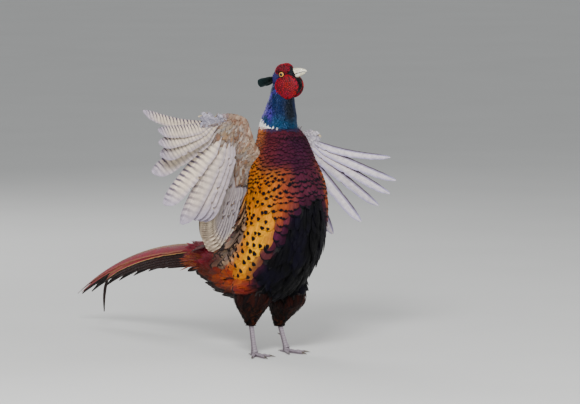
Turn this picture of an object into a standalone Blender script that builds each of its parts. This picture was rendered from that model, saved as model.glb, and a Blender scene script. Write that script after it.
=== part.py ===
"""A cock common pheasant, life size: upright, crowing, with both wings half open in a wing beat.

The bird faces -Y with its right side at -X, and stands on the floor at Z = 0.
Tables are in millimetres; every mesh is written in metres.
"""

import math

import bmesh
import bpy
import numpy as np

MM = 0.001
GAP = 0.4  # clearance between nodes that touch

# Sagittal stations of the body, from inside the head to inside the tail:
# y, z, half width, depth to the belly side, depth to the back side
BODY = (
    (-24, 526, 17, 17, 17),
    (-22, 506, 21, 22, 21),
    (-20, 487, 24, 25, 25),
    (-16, 464, 30, 31, 30),
    (-11, 432, 39, 37, 38),
    (-20, 396, 55, 52, 56),
    (-26, 356, 66, 67, 69),
    (-34, 312, 75, 79, 76),
    (-32, 268, 78, 80, 78),
    (-16, 226, 79, 86, 78),
    (22, 190, 75, 88, 66),
    (76, 172, 62, 75, 54),
    (140, 166, 46, 60, 40),
    (198, 164, 29, 35, 24),
    (228, 161, 17, 19, 13),
)
NECK_TOP, NECK_FOOT, RUMP_END, TAIL_BASE_END = 0.0, 3.9, 12.0, 14.0
NECK_RINGS, TAIL_RINGS = 9, 6
TORSO = (NECK_FOOT + 0.012, RUMP_END, 23)  # first and last station, rings
BODY_SIDES = 22
NECK_SIDES = 16

HEAD_CENTRE = (0, -26, 533)
HEAD_YAW, HEAD_PITCH = 30, 20  # degrees, to its left and up
# Head stations in the head's own frame: forward, height, half width, rise, drop
HEAD = (
    (-24, -3, 5, 5, 7),
    (-21, -2.5, 11, 9.5, 13),
    (-14, -1, 15.5, 14.5, 19),
    (-4, 0, 17.5, 20, 23),
    (6, 0, 16.5, 20.5, 22.5),
    (14, -0.5, 13, 17.5, 18),
    (20, -1.5, 9.5, 12.5, 13),
    (24.5, -2.5, 7, 8.5, 9),
    (27, -3, 3.5, 4, 4.5),
)
EYE_PLACE = (14.2, 2.8, 3.4)  # sideways, forward, up in the head's frame
EYE_RADIUS = 5.4
LID_RADIUS, LID_THICK = 4.9, 1.1

BILL_BASE, BILL_TIP = 19.5, 47.0  # forward of the head's centre
BILL_LINE = -3.6  # height of the mouth line at the bill's base

# Wattle lobes: forward, up, half length, half height, reach from the head's middle, half depth
LOBES = (
    (4.5, -20, 24.0, 24.5, 23.0, 8.0),
    (7.5, 9.5, 16.0, 13.0, 19.5, 11.0),
)
THROAT, THROAT_SIZE = (0, 8, -21), (14, 23, 18)  # the pouch between the lobes, and its half axes
TUFT_LENGTH, TUFT_WIDTH = 34.0, 8.0

TAIL_ROOT = (0, 162, 193.4)  # where the ridge of the tail's roof starts
TAIL_LENGTHS = (474, 452, 412, 366, 318, 268, 222, 180, 146)  # pair by pair, inner first
TAIL_WIDTHS = (40, 34, 31, 30, 29, 28, 27, 26, 25)
TAIL_STEP = 2.8  # how far each pair lies under the one before
TAIL_DROOP, TAIL_RISE = 37.4, 2.2  # degrees that the ridge turns down, and its slope up at the root
TAIL_RIDGE, TAIL_SLOPE = 15.0, 60  # radius of the ridge, and the slope of the roof's sides in degrees
TAIL_THICK, RIDGE_OVERLAP = 0.8, 5.0  # of a feather, and how far the inner ones reach past the ridge
TAIL_KNOTS, KNOT_ROOM = 7, 18.0  # straight stretches' ends along the ridge, and the room left before a tip
HANGING = (2, -1)  # pair and side of the feather whose tip hangs down
HANG_START, HANG_DROP = 0.84, 58.0

# Wing boards: leading edge, trailing edge and thickness, from the hand's tip to the shoulder
RIGHT_BOARD = (
    ((-146, -4, 467), (-138, 2, 450), 6),
    ((-114, -10, 468), (-114, 4, 438), 9),
    ((-84, -16, 457), (-99, 12, 411), 13),
    ((-73, -20, 431), (-97, 26, 384), 16),
    ((-60, -22, 402), (-80, 34, 356), 20),
    ((-34, -24, 376), (-42, 26, 346), 25),
)
LEFT_BOARD = (
    ((104, 42, 425), (98, 50, 408), 6),
    ((84, 54, 431), (80, 66, 402), 9),
    ((62, 68, 430), (58, 84, 394), 14),
    ((50, 76, 412), (44, 94, 364), 18),
    ((44, 48, 396), (36, 82, 348), 22),
    ((40, -6, 378), (34, 38, 338), 26),
)
# Flight feathers, outermost first: number, place of the tip, width, twist at the tip and bend
RIGHT_FEATHERS = (
    (0, (-310, 9, 482), 19, 14, 10),
    (1, (-306, -30, 449), 22, 14, 12),
    (2, (-303, -28, 425), 24, 14, 12),
    (3, (-297, -24, 402), 29, 13, 12),
    (4, (-297, 0, 368), 32, 12, 12),
    (5, (-262, 10, 305), 33, 12, 10),
    (6, (-218, 14, 265), 31, 12, 8),
    (7, (-187, 14, 270), 29, 12, 8),
    (9, (-158, 20, 264), 30, 12, 8),
    (12, (-150, 34, 247), 32, 12, 10),
    (15, (-136, 48, 229), 33, 12, 10),
    (18, (-104, 66, 197), 35, 12, 10),
    (20, (-80, 57, 226), 34, 12, 10),
    (21.5, (-58, 48, 262), 32, 12, 10),
    (23, (-40, 36, 313), 28, 12, 8),
)
LEFT_FEATHERS = (
    (0, (232, -67, 368), 19, 50, 14),
    (1, (237, -78, 324), 23, 50, 16),
    (2, (226, -73, 299), 25, 50, 16),
    (3, (208, -61, 276), 26, 48, 16),
    (4, (180, -42, 246), 27, 42, 14),
    (5, (140, -6, 222), 28, 30, 12),
    (6, (118, 22, 217), 29, 18, 10),
    (9, (92, 58, 226), 30, 12, 10),
    (12, (84, 76, 218), 32, 12, 10),
    (15, (77, 92, 210), 33, 12, 10),
    (18, (65, 112, 200), 35, 12, 10),
    (20, (58, 108, 222), 34, 12, 10),
    (21.5, (48, 94, 252), 32, 12, 10),
    (23, (40, 76, 292), 28, 12, 8),
)
PRIMARIES, LAST, INNERMOST = 10, 18, 23
INNER = (19.6, 21.4)  # numbers of the feathers between the elbow and the shoulder
SWAY = ((0, 1, 2, 4), (13, 7, 4, 0))  # how far the outer feathers bow towards their trailing side
ROOT_STEP = 0.6  # how far each feather of the forearm lies above the one before
FOREARM_END = {-1: 3.85, 1: 3.05}  # the board's row where the forearm's innermost feather grows
SHOULDER_ROW = 4.9  # the board's row at the shoulder
COVERTS = 5  # on each face of the wing
COVERT_REACH = {"under": (0.33, 34), "upper": (0.42, 34)}  # share of the feather, width
RIGHT_BACK = ((0.05, 1, 0), (0.2, 1, 0.1))  # the upper side's facing, at the tip and at the body
LEFT_BACK = ((0.643, 0.766, 0), (0.643, 0.766, 0))
VANE_THICK = 0.6

# Legs: side, ankle, foot centre, how far the foot turns out in degrees, the thigh's push forward,
# and how far its feathers reach down the tarsus
LEGS = {
    "right": (-1, (-41, 24, 72), (-40, 13, 9), 12, 0, 9),
    "left": (1, (39, 41, 71), (41, 16, 9), 6, 11, 18),
}
# Toes: aim from straight ahead in degrees (outwards positive), length, radius at the root
TOES = {
    "middle": (0, 46, 4.0),
    "inner": (-38, 35, 3.6),
    "outer": (34, 38, 3.6),
    "hind": (178, 17, 3.0),
}
CLAW_LENGTH = 11.0
HEEL_HEIGHT = 5.4  # of the pad's middle over its flat sole

COLOURS = {
    "head": (0.05, 0.12, 0.10),
    "neck": (0.02, 0.07, 0.22),
    "torso": (0.34, 0.10, 0.04),
    "tail": (0.30, 0.16, 0.09),
    "wing": (0.55, 0.47, 0.40),
    "thigh": (0.06, 0.03, 0.02),
    "wattle": (0.62, 0.01, 0.02),
    "bill": (0.80, 0.77, 0.66),
    "leg": (0.45, 0.42, 0.42),
    "claw": (0.16, 0.13, 0.11),
    "eye": (0.85, 0.60, 0.22),
}


def unit(vector):
    vector = np.asarray(vector, float)
    return vector / np.linalg.norm(vector, axis=-1, keepdims=True)


def through(rows, where):
    """Catmull-Rom curve through the rows of a table, at fractional row numbers."""
    rows = np.asarray(rows, float)
    where = np.atleast_1d(np.asarray(where, float))
    index = np.clip(where.astype(int), 0, len(rows) - 2)
    t = (where - index)[:, None]
    last = len(rows) - 1
    before, a = rows[np.maximum(index - 1, 0)], rows[index]
    b, after = rows[index + 1], rows[np.minimum(index + 2, last)]
    return (
        a
        + 0.5 * t * (b - before)
        + t**2 * (before - 2.5 * a + 2 * b - 0.5 * after)
        + t**3 * (1.5 * (a - b) + 0.5 * (after - before))
    )


def facing_out(points, faces):
    """The faces, turned round if they enclose a negative volume."""
    corners = points[np.array(faces)[:, :3]]
    triangles = corners - points.mean(0)
    volume = np.linalg.det(triangles).sum()
    return [face[::-1] for face in faces] if volume < 0 else faces


def loft(rings):
    """A closed tube through rings of equally many points, each end closed by a fan."""
    rings = np.asarray(rings, float)
    count, around, _ = rings.shape
    points = np.vstack([rings.reshape(-1, 3), rings[0].mean(0), rings[-1].mean(0)])
    faces = []
    for i in range(count - 1):
        for j in range(around):
            k = (j + 1) % around
            a, b = i * around + j, i * around + k
            faces += [(a, b, b + around), (a, b + around, a + around)]
    first, last, end = count * around, count * around + 1, (count - 1) * around
    for j in range(around):
        k = (j + 1) % around
        faces += [(first, k, j), (last, end + j, end + k)]
    return points, facing_out(points, faces)


def ball(centre, axes, sides=16, rings=9, ripple=None):
    """An ellipsoid; the rows of axes are its half axes, the last one its pole."""
    centre, axes = np.asarray(centre, float), np.asarray(axes, float)
    made = []
    for i in range(rings):
        down = math.pi * (i + 0.5) / rings
        ring = []
        for j in range(sides):
            turn = 2 * math.pi * (j + 0.5 * (i % 2)) / sides
            swell = ripple(down, turn) if ripple else 1
            local = (math.sin(down) * math.cos(turn), math.sin(down) * math.sin(turn), math.cos(down))
            ring.append(centre + swell * sum(share * axis for share, axis in zip(local, axes)))
        made.append(ring)
    return loft(made)


def loft_again(points, sides, rings):
    """A closed tube from the points of a ball that have been moved."""
    return loft(points[: sides * rings].reshape(rings, sides, 3))


# Outline of a flight feather and of a covert: share of the length, share of the width
FLIGHT_OUTLINE = ((0, 0.12), (0.13, 0.18), (0.34, 0.92), (0.72, 0.98), (0.93, 0.62), (1, 0.14))
INNER_OUTLINE = ((0, 0.14), (0.14, 0.3), (0.36, 0.92), (0.78, 1), (0.95, 0.66), (1, 0.24))
COVERT_OUTLINE = ((0, 0.3), (0.35, 0.95), (0.78, 0.9), (1, 0.3))
TAIL_OUTLINE = ((0, 0.25), (0.13, 0.8), (0.38, 0.98), (0.66, 0.67), (0.87, 0.36), (1, 0.07))


def shaft_points(root, along, up, length, bend, shares):
    """Points on a shaft whose chord runs along, and which turns by bend away from up."""
    turn = math.radians(bend) if abs(bend) > 0.1 else math.radians(0.1)
    shares = np.asarray(shares, float)[:, None]
    forward = (np.sin(turn * (shares - 0.5)) + math.sin(turn / 2)) / turn
    rise = (np.cos(turn * (shares - 0.5)) - math.cos(turn / 2)) / turn
    normal = up * np.cos(turn * (shares - 0.5)) + along * np.sin(turn * (shares - 0.5))
    return root + length * (forward * along + rise * up), normal


def vane(root, along, up, lead, length, width, outline, bend=8.0, twist=(0, 0),
         lead_share=0.5, thick=VANE_THICK, sway=0.0):
    """A feather: a thin closed blade. The twist lifts its leading edge towards up, from root to tip."""
    root, along = np.asarray(root, float), unit(along)
    shares, widths = np.array(outline, float).T
    middle, normal = shaft_points(root, along, up, length, bend, shares)
    middle = middle - lead * (sway * np.sin(np.pi * shares**0.8))[:, None]
    turn = np.radians(twist[0] + (twist[1] - twist[0]) * shares**0.7)[:, None]
    side = lead * np.cos(turn) + normal * np.sin(turn)
    normal = normal * np.cos(turn) - lead * np.sin(turn)
    half = normal * thick / 2
    front = middle + side * (widths * width * lead_share)[:, None]
    back = middle - side * (widths * width * (1 - lead_share))[:, None]
    rings = np.stack([front + half, back + half, back - half, front - half], axis=1)
    return blade(rings, 2)


def blade(rings, across):
    """A thin closed plate whose two faces are split into triangles alike."""
    count, around, _ = rings.shape
    points = rings.reshape(-1, 3)
    faces = []
    for i in range(count - 1):
        for j in range(around):
            k = (j + 1) % around
            a, b, c, d = i * around + j, i * around + k, (i + 1) * around + k, (i + 1) * around + j
            faces += [(a, b, c), (a, c, d)] if j < across else [(a, b, d), (b, c, d)]
    for start, flip in ((0, False), ((count - 1) * around, True)):
        for j in range(across - 1):
            top, below = (start + j, start + j + 1), (start + around - 1 - j, start + around - 2 - j)
            ends = [(top[0], below[0], top[1]), (top[1], below[0], below[1])]
            faces += [face[::-1] for face in ends] if flip else ends
    return points, facing_out(points, faces)


def mesh_of(name, piece):
    points, faces = piece
    mesh = bpy.data.meshes.new(name)
    mesh.from_pydata((np.asarray(points) * MM).tolist(), [], [tuple(int(i) for i in f) for f in faces])
    mesh.update()
    return mesh


def boolean(body, pieces, operation):
    """Unites a body with closed pieces, or cuts it by them, and applies the result."""
    group = bpy.data.collections.new("pieces")
    bpy.context.scene.collection.children.link(group)
    for number, piece in enumerate(pieces):
        group.objects.link(bpy.data.objects.new(f"piece_{number}", mesh_of("piece", piece)))
    modifier = body.modifiers.new("Boolean", "BOOLEAN")
    modifier.operand_type = "COLLECTION"
    modifier.collection = group
    modifier.operation = operation
    modifier.solver = "EXACT"
    bpy.context.view_layer.update()
    graph = bpy.context.evaluated_depsgraph_get()
    made = bpy.data.meshes.new_from_object(body.evaluated_get(graph))
    body.modifiers.clear()
    old, body.data = body.data, made
    bpy.data.meshes.remove(old)
    for piece in list(group.objects):
        bpy.data.objects.remove(piece)
    bpy.data.collections.remove(group)


def keep_largest(body):
    """Leaves only the largest closed surface of a mesh."""
    work = bmesh.new()
    work.from_mesh(body.data)
    bmesh.ops.triangulate(work, faces=work.faces)
    left, groups = set(work.faces), []
    while left:
        grown, edge = set(), [left.pop()]
        while edge:
            face = edge.pop()
            grown.add(face)
            for near in (f for e in face.edges for f in e.link_faces if f in left):
                left.discard(near)
                edge.append(near)
        groups.append(grown)

    def volume(faces):
        return abs(sum(f.verts[0].co.dot(f.verts[1].co.cross(f.verts[2].co)) for f in faces))

    groups.sort(key=volume, reverse=True)
    spare = [face for group in groups[1:] for face in group]
    bmesh.ops.delete(work, geom=spare, context="FACES")
    work.to_mesh(body.data)
    work.free()


def material_of(kind):
    name = f"{kind}_finish"
    made = bpy.data.materials.get(name)
    if made is None:
        made = bpy.data.materials.new(name)
        made.use_nodes = True
        shader = made.node_tree.nodes["Principled BSDF"]
        shader.inputs["Base Color"].default_value = (*COLOURS[kind], 1)
        shader.inputs["Roughness"].default_value = 0.25 if kind == "eye" else 0.6
        shader.inputs["Metallic"].default_value = 0.0
        made.diffuse_color = (*COLOURS[kind], 1)
    return made


def node(name, kind, pieces, cutters=()):
    """One named object: its pieces united, its cutters taken away, and one closed body kept."""
    body = bpy.data.objects.new(name, mesh_of(name, pieces[0]))
    bpy.context.scene.collection.objects.link(body)
    if len(pieces) > 1:
        boolean(body, pieces[1:], "UNION")
    if cutters:
        boolean(body, cutters, "DIFFERENCE")
    keep_largest(body)
    body.data.materials.clear()
    body.data.materials.append(material_of(kind))
    body.data.shade_smooth()
    body.data.set_sharp_from_angle(angle=math.radians(35))
    return body


def body_frame(where):
    """Centres, back directions and sizes of the body's sections at fractional stations."""
    rows = through(BODY, where)
    step = 1e-3
    tangent = through(BODY, np.asarray(where) + step)[:, :2] - through(BODY, np.asarray(where) - step)[:, :2]
    tangent = unit(tangent)
    centre = np.column_stack([np.zeros(len(rows)), rows[:, 0], rows[:, 1]])
    back = np.column_stack([np.zeros(len(rows)), -tangent[:, 1], tangent[:, 0]])
    return centre, back, rows[:, 2:]


def body_loft(start, end, count, grow=0.0, sides=BODY_SIDES):
    """Rings of a stretch of the body between two stations, grown outwards by grow."""
    where = np.linspace(start, end, count)
    if grow:
        where = np.concatenate([[start - 0.25], where, [end + 0.25]])
    centre, back, sizes = body_frame(where)
    turn = 2 * math.pi * np.arange(sides) / sides
    across, out = np.cos(turn), np.sin(turn)
    depth = np.where(out[None, :] > 0, sizes[:, 2:3], sizes[:, 1:2]) + grow
    width = sizes[:, 0:1] + grow
    rings = (
        centre[:, None, :]
        + (width * across)[..., None] * np.array([1.0, 0, 0])
        + (depth * out)[..., None] * back[:, None, :]
    )
    return rings


def head_place(points):
    """Points of the head's own frame (sideways, forward, up) in the bird's frame."""
    yaw, pitch = math.radians(HEAD_YAW), math.radians(HEAD_PITCH)
    points = np.asarray(points, float)
    ahead = points[..., 1] * math.cos(pitch) - points[..., 2] * math.sin(pitch)
    up = points[..., 1] * math.sin(pitch) + points[..., 2] * math.cos(pitch)
    side = points[..., 0]
    return np.stack([
        HEAD_CENTRE[0] + side * math.cos(yaw) + ahead * math.sin(yaw),
        HEAD_CENTRE[1] + side * math.sin(yaw) - ahead * math.cos(yaw),
        HEAD_CENTRE[2] + up,
    ], axis=-1)


def head_turn(vector):
    return head_place(vector) - head_place((0, 0, 0))


def head_loft(grow=0.0, sides=16, count=12):
    rows = through(HEAD, np.linspace(0, len(HEAD) - 1, count))
    rings = []
    for number, (ahead, height, width, rise, drop) in enumerate(rows):
        end = (number == count - 1) - (number == 0)
        ring = []
        for j in range(sides):
            turn = 2 * math.pi * j / sides
            tall = (rise if math.sin(turn) > 0 else drop) + grow
            ring.append(((width + grow) * math.cos(turn), ahead + grow * end, height + tall * math.sin(turn)))
        rings.append(ring)
    return loft(head_place(rings))


def eye_centre(side):
    return head_place((side * EYE_PLACE[0], EYE_PLACE[1], EYE_PLACE[2]))


def eye_ball(side, grow=0.0):
    radius = EYE_RADIUS + grow
    axes = radius * head_turn(((0, 1, 0), (0, 0, 1), (side, 0, 0)))
    return ball(eye_centre(side), axes, sides=12, rings=7)


def ring_tube(centre, first, second, radius, thick, sides=14, around=5):
    """A torus: the lids round an eye."""
    out = np.cross(first, second)
    points, faces = [], []
    for i in range(sides):
        turn = 2 * math.pi * i / sides
        radial = first * math.cos(turn) + second * math.sin(turn)
        for j in range(around):
            lean = 2 * math.pi * j / around
            points.append(centre + radial * (radius + thick * math.cos(lean)) + out * thick * math.sin(lean))
            a, b = i * around + j, i * around + (j + 1) % around
            c, d = ((i + 1) % sides) * around + (j + 1) % around, ((i + 1) % sides) * around + j
            faces += [(a, b, c), (a, c, d)]
    points = np.array(points)
    return points, torus_out(points, faces, centre, radius)


def torus_out(points, faces, centre, radius):
    """Torus faces turned so that the outermost face looks away from the centre."""
    corners = points[np.array(faces)]
    middle = corners.mean(1) - centre
    far = int(np.argmax(np.linalg.norm(middle, axis=1)))
    normal = np.cross(corners[far, 1] - corners[far, 0], corners[far, 2] - corners[far, 0])
    return [face[::-1] for face in faces] if normal @ middle[far] < 0 else faces


def lids(side):
    centre = head_place((side * (EYE_PLACE[0] + 2.6), EYE_PLACE[1], EYE_PLACE[2]))
    first, second = head_turn((0, 1, 0)), head_turn((0, 0, 1))
    return ring_tube(centre, first, second, LID_RADIUS, LID_THICK)


def ear_tuft(side):
    """Erect feathers behind the ear: a club of overlapping vanes."""
    pieces = []
    for number in range(3):
        lift = (number - 1) * 2.2
        root = head_place((side * (8.0 + 0.8 * number), -13, 2 + lift))
        aim = unit(head_turn((side * 0.16, -1, 0.05 * (number - 1))))
        lead = unit(head_turn((0, 0.0, 1)))
        up = unit(head_turn((side, 0, 0)))
        up = unit(up - (up @ aim) * aim)
        lead = np.cross(up, aim)
        outline = ((0, 0.5), (0.3, 0.7), (0.7, 1), (0.93, 0.8), (1, 0.3))
        length = TUFT_LENGTH - 2 * abs(number - 1)
        bend = 6 * (number - 1)
        pieces.append(vane(root, aim, up, lead, length, TUFT_WIDTH, outline, bend=bend, thick=1.8))
    return pieces


def wattle(side):
    """The cheek's bare skin: a hanging lobe and a smaller one over and before the eye."""
    def papillae(down, turn):
        return 1 + 0.022 * math.cos(9 * turn) * math.sin(4 * down)

    def lobe(forward, up, long, tall, reach, deep):
        axes = ((0, long, 0), (0, 0, tall), (deep, 0, 0))
        points, _ = ball((reach - deep, forward, up), axes, sides=15, rings=9, ripple=papillae)
        points[:, 0] = side * np.maximum(points[:, 0], GAP / 2)
        return loft_again(head_place(points), 15, 9)

    return [lobe(*sizes) for sizes in LOBES]


def throat(grow=0.0):
    """The feathered pouch under the bill, between the wattles."""
    axes = head_turn(np.diag([size + grow for size in THROAT_SIZE]))
    return ball(head_place(THROAT), axes, sides=12, rings=7)


def bill_half(rows):
    """Half of the bill: forward, half width, height of its outer edge, and of the mouth line."""
    rings = []
    for ahead, width, outer, line in rows:
        ring = []
        steps = 8
        for j in range(steps + 1):
            turn = math.pi * j / steps
            height = line + (outer - line) * math.sin(turn)
            ring.append((width * math.cos(turn), ahead, height))
        rings.append(ring)
    return loft(head_place(rings))


def bill_upper():
    line = BILL_LINE
    rows = (
        (BILL_BASE - 8, 7.2, line + 11.0, line + 0.3),
        (BILL_BASE, 6.8, line + 11.4, line + 0.4),
        (BILL_BASE + 8, 6.0, line + 10.4, line + 0.6),
        (BILL_BASE + 16, 4.8, line + 7.8, line + 0.3),
        (BILL_BASE + 22, 3.4, line + 4.6, line - 0.6),
        (BILL_BASE + 26, 1.9, line + 1.2, line - 2.4),
        (BILL_TIP, 0.6, line - 1.4, line - 3.4),
    )
    return bill_half(rows)


def bill_lower():
    line = BILL_LINE
    rows = (
        (BILL_BASE - 8, 6.8, line - 8.4, line - 1.0),
        (BILL_BASE, 6.3, line - 8.4, line - 1.1),
        (BILL_BASE + 8, 5.4, line - 7.8, line - 1.3),
        (BILL_BASE + 15, 4.2, line - 6.8, line - 1.6),
        (BILL_BASE + 20, 2.8, line - 5.8, line - 2.2),
        (BILL_BASE + 24, 0.8, line - 4.6, line - 3.4),
    )
    return bill_half(rows)


def nostril(side):
    centre = head_place((side * 6.4, BILL_BASE + 7.5, BILL_LINE + 5.6))
    axes = head_turn(((0, 2.4, 0.5), (0, -0.2, 1.0), (side * 1.4, 0, 0)))
    return ball(centre, axes, sides=8, rings=5)


def board_rings(board, back, count=10):
    """Closed rings of the wing's fleshy board, thickest a third of the way back."""
    profile = (
        (0, 0.0), (0.1, 0.42), (0.38, 0.5), (0.78, 0.28), (1, 0.1),
        (1, -0.1), (0.78, -0.26), (0.38, -0.36), (0.1, -0.3),
    )
    rows = np.array([(*lead, *trail, thick) for lead, trail, thick in board], float)
    rows = through(rows, np.linspace(0, len(rows) - 1, count))
    chords = rows[:, 3:6] - rows[:, :3]
    spans = np.gradient(rows[:, :3] + chords / 2, axis=0)
    rings, last = [], np.array(back[0], float)
    for row, chord, span in zip(rows, chords, spans):
        out = unit(np.cross(span, chord))
        out = out if out @ last > 0 else -out
        last = out
        rings.append([row[:3] + chord * share + out * height * row[6] for share, height in profile])
    return np.array(rings)


def flight_feathers(board, feathers, back, side):
    """For each flight feather: its root in the board, and its own frame and sizes."""
    table = np.array([(n, *tip, width, twist, bend) for n, tip, width, twist, bend in feathers])
    rows = np.array([(*lead, *trail, thick) for lead, trail, thick in board], float)
    made = []
    for number in (*range(LAST + 1), *INNER):
        *tip, width, twist, bend = [np.interp(number, table[:, 0], table[:, i]) for i in range(1, 7)]
        # The primaries grow from the hand, the others from the forearm and elbow.
        inner = max((min(number, LAST) - PRIMARIES + 1) / (LAST + 1 - PRIMARIES), 0)
        share = 0.12 + 1.75 * min(number, PRIMARIES - 1) / (PRIMARIES - 1)
        share += inner * (FOREARM_END[side] - share)
        share += max(number - LAST, 0) / (INNERMOST - LAST) * (SHOULDER_ROW - share)
        row = through(rows, share)[0]
        depth = 0.5 + 0.16 * inner
        root = row[:3] + (row[3:6] - row[:3]) * depth
        aim = unit(np.array(tip) - root)
        mix = min(number / LAST, 1)
        up = unit(np.array(back[0]) * (1 - mix) + np.array(back[1]) * mix)
        up = unit(up - (up @ aim) * aim)
        bed = root
        root = root + up * ROOT_STEP * max(number - PRIMARIES + 1, 0)
        made.append(dict(root=root, bed=bed, along=aim, up=up, lead=-side * np.cross(up, aim), width=width,
                         length=np.linalg.norm(np.array(tip) - root), twist=twist, bend=bend,
                         number=number, thick=row[6]))
    return made


def between(flights, number):
    """The frame at a fractional feather number, for the coverts that lie over the flight feathers."""
    low = int(min(number, len(flights) - 2))
    t = number - low
    mixed = {key: flights[low][key] * (1 - t) + flights[low + 1][key] * t for key in flights[low]}
    mixed["along"] = unit(mixed["along"])
    mixed["up"] = unit(mixed["up"] - (mixed["up"] @ mixed["along"]) * mixed["along"])
    for axis in ("along", "up"):
        mixed["lead"] = mixed["lead"] - (mixed["lead"] @ mixed[axis]) * mixed[axis]
    mixed["lead"] = unit(mixed["lead"])
    return mixed


def covert_tier(flights, face, sign):
    """A tier of coverts along one face of the wing, over the roots of the flight feathers."""
    reach, width = COVERT_REACH[face]
    pieces = []
    for number in np.linspace(0.3, LAST - 0.3, COVERTS):
        f = between(flights, number)
        ends, normals = shaft_points(f["root"], f["along"], f["up"], f["length"], f["bend"], [0, reach])
        ends = np.array([f["bed"], ends[1]]) + sign * np.array([[0.22 * f["thick"] + 0.6], [4.6]]) * normals
        along = unit(ends[1] - ends[0])
        up = unit(f["up"] - (f["up"] @ along) * along)
        lead = unit(np.cross(along, np.cross(f["lead"], along)))
        pieces.append(vane(ends[0], along, up, lead, np.linalg.norm(ends[1] - ends[0]), width, COVERT_OUTLINE,
                           bend=f["bend"] * reach, twist=(9, 9), thick=0.7))
    return pieces


def wing_pieces(board, feathers, back, side):
    flights = flight_feathers(board, feathers, back, side)
    pieces = [loft(board_rings(board, back))]
    for f in flights:
        primary = f["number"] < PRIMARIES
        outline = FLIGHT_OUTLINE if primary else INNER_OUTLINE
        pieces.append(vane(f["root"], f["along"], f["up"], f["lead"], f["length"], f["width"], outline,
                           bend=f["bend"], twist=(8, f["twist"]), lead_share=0.3 if primary else 0.4,
                           sway=float(np.interp(f["number"], *SWAY))))
    return pieces + covert_tier(flights, "under", -1) + covert_tier(flights, "upper", 1)


def tail_roof(back, sideways, lift, level=0.0):
    """Points on the roof-shaped sheet that the tail's feathers lie along, straight between its knots.

    back runs along the ridge and sideways round it; lift stands off the sheet, and level is straight up.
    """
    fall = math.radians(TAIL_DROOP / 2 - TAIL_RISE)
    along, up = np.array([0, math.cos(fall), -math.sin(fall)]), np.array([0, math.sin(fall), math.cos(fall)])
    back, sideways, lift, level = np.broadcast_arrays(back, sideways, lift, level)
    reach = TAIL_LENGTHS[0]
    knots = np.linspace(0, reach, TAIL_KNOTS)
    bent = shaft_points(np.array(TAIL_ROOT, float), along, up, reach, TAIL_DROOP, knots / reach)
    where = back.ravel()
    line, normal = (np.column_stack([np.interp(where, knots, axis) for axis in made.T]) for made in bent)
    steepest = math.radians(TAIL_SLOPE)
    turn = np.clip(sideways.ravel() / TAIL_RIDGE, -steepest, steepest)
    spare = sideways.ravel() - turn * TAIL_RIDGE
    out = TAIL_RIDGE * np.sin(turn) + spare * np.cos(turn) + lift.ravel() * np.sin(turn)
    rise = TAIL_RIDGE * (np.cos(turn) - 1) - spare * np.sin(turn) + lift.ravel() * np.cos(turn)
    rise = rise + level.ravel()
    points = line + out[:, None] * np.array([1.0, 0, 0]) + rise[:, None] * normal
    return points.reshape(*back.shape, 3)


def tail_vane(backs, inner, outer, level, across=2, side=1):
    """A feather laid on the tail's roof between its inner and its outer rim."""
    splits = np.linspace(0, 1, across)
    sideways = side * (inner[:, None] * (1 - splits) + outer[:, None] * splits)
    half = TAIL_THICK / 2
    level = np.broadcast_to(level, backs.shape)[:, None]
    top, below = (tail_roof(backs[:, None], sideways, lift, level) for lift in (half, -half))
    return blade(np.concatenate([top, below[:, ::-1]], axis=1), across)


def tail_feather(pair, side):
    """One of a pair of tail feathers; the inner pairs lie over the ridge and over the outer ones."""
    length, middle_pair = TAIL_LENGTHS[pair], pair < 3
    knots = np.linspace(0, TAIL_LENGTHS[0], TAIL_KNOTS)
    backs = np.append(knots[knots < length - KNOT_ROOM], length)
    level = -TAIL_STEP * (pair + (0.5 if middle_pair and side > 0 else 0))
    drop = np.zeros(len(backs))
    if (pair, side) == HANGING:
        backs = np.append(backs[backs < HANG_START * length], length * np.linspace(HANG_START, 1, 5))
        drop = HANG_DROP * np.clip((backs / length - HANG_START) / (1 - HANG_START), 0, 1) ** 1.6
    shares, widths = np.array(TAIL_OUTLINE, float).T
    widths = np.interp(backs / length, shares, widths) * TAIL_WIDTHS[pair]
    if (pair, side) == HANGING:
        widths = widths * np.interp(backs / length, (0.76, 0.88), (1, 1.7))
    middle = 2 + 1.3 * pair + math.sin(math.radians(0.4 + 0.95 * pair)) * backs
    past = RIDGE_OVERLAP if middle_pair else -GAP
    inner, outer = np.maximum(middle - 0.58 * widths, -past), middle + 0.42 * widths
    return tail_vane(backs - 0.2 * drop, inner, outer, level - drop, 4 if middle_pair else 2, side)


def tail_coverts():
    """Short feathers over and under the roots of the tail."""
    pieces = []
    shares, widths = np.array(COVERT_OUTLINE, float).T
    for place, level in ((-1, 2.8), (0, 4.6), (1, 3.7)):
        half, middle = 13 * widths, 12 * place
        backs = 8 + (92 - 9 * abs(place)) * shares
        pieces.append(tail_vane(backs, middle - half, middle + half, level, 3))
        root = np.array([15.0 * place, 190 - 5 * abs(place), 150 + 3.5 * abs(place)])
        along = unit((0.08 * place, 1, -0.1))
        lead = unit(np.cross(along, (0, 0, 1.0)))
        pieces.append(vane(root, along, np.cross(lead, along), lead, 70 - 10 * abs(place), 32,
                           COVERT_OUTLINE, bend=-10, twist=(-8 * place, -8 * place), thick=0.7))
    return pieces


def tail_pieces():
    base = loft(body_loft(RUMP_END + 0.02, TAIL_BASE_END, TAIL_RINGS, sides=16))
    feathers = [tail_feather(pair, side) for pair in range(len(TAIL_LENGTHS)) for side in (-1, 1)]
    return [base] + feathers + tail_coverts()


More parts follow.
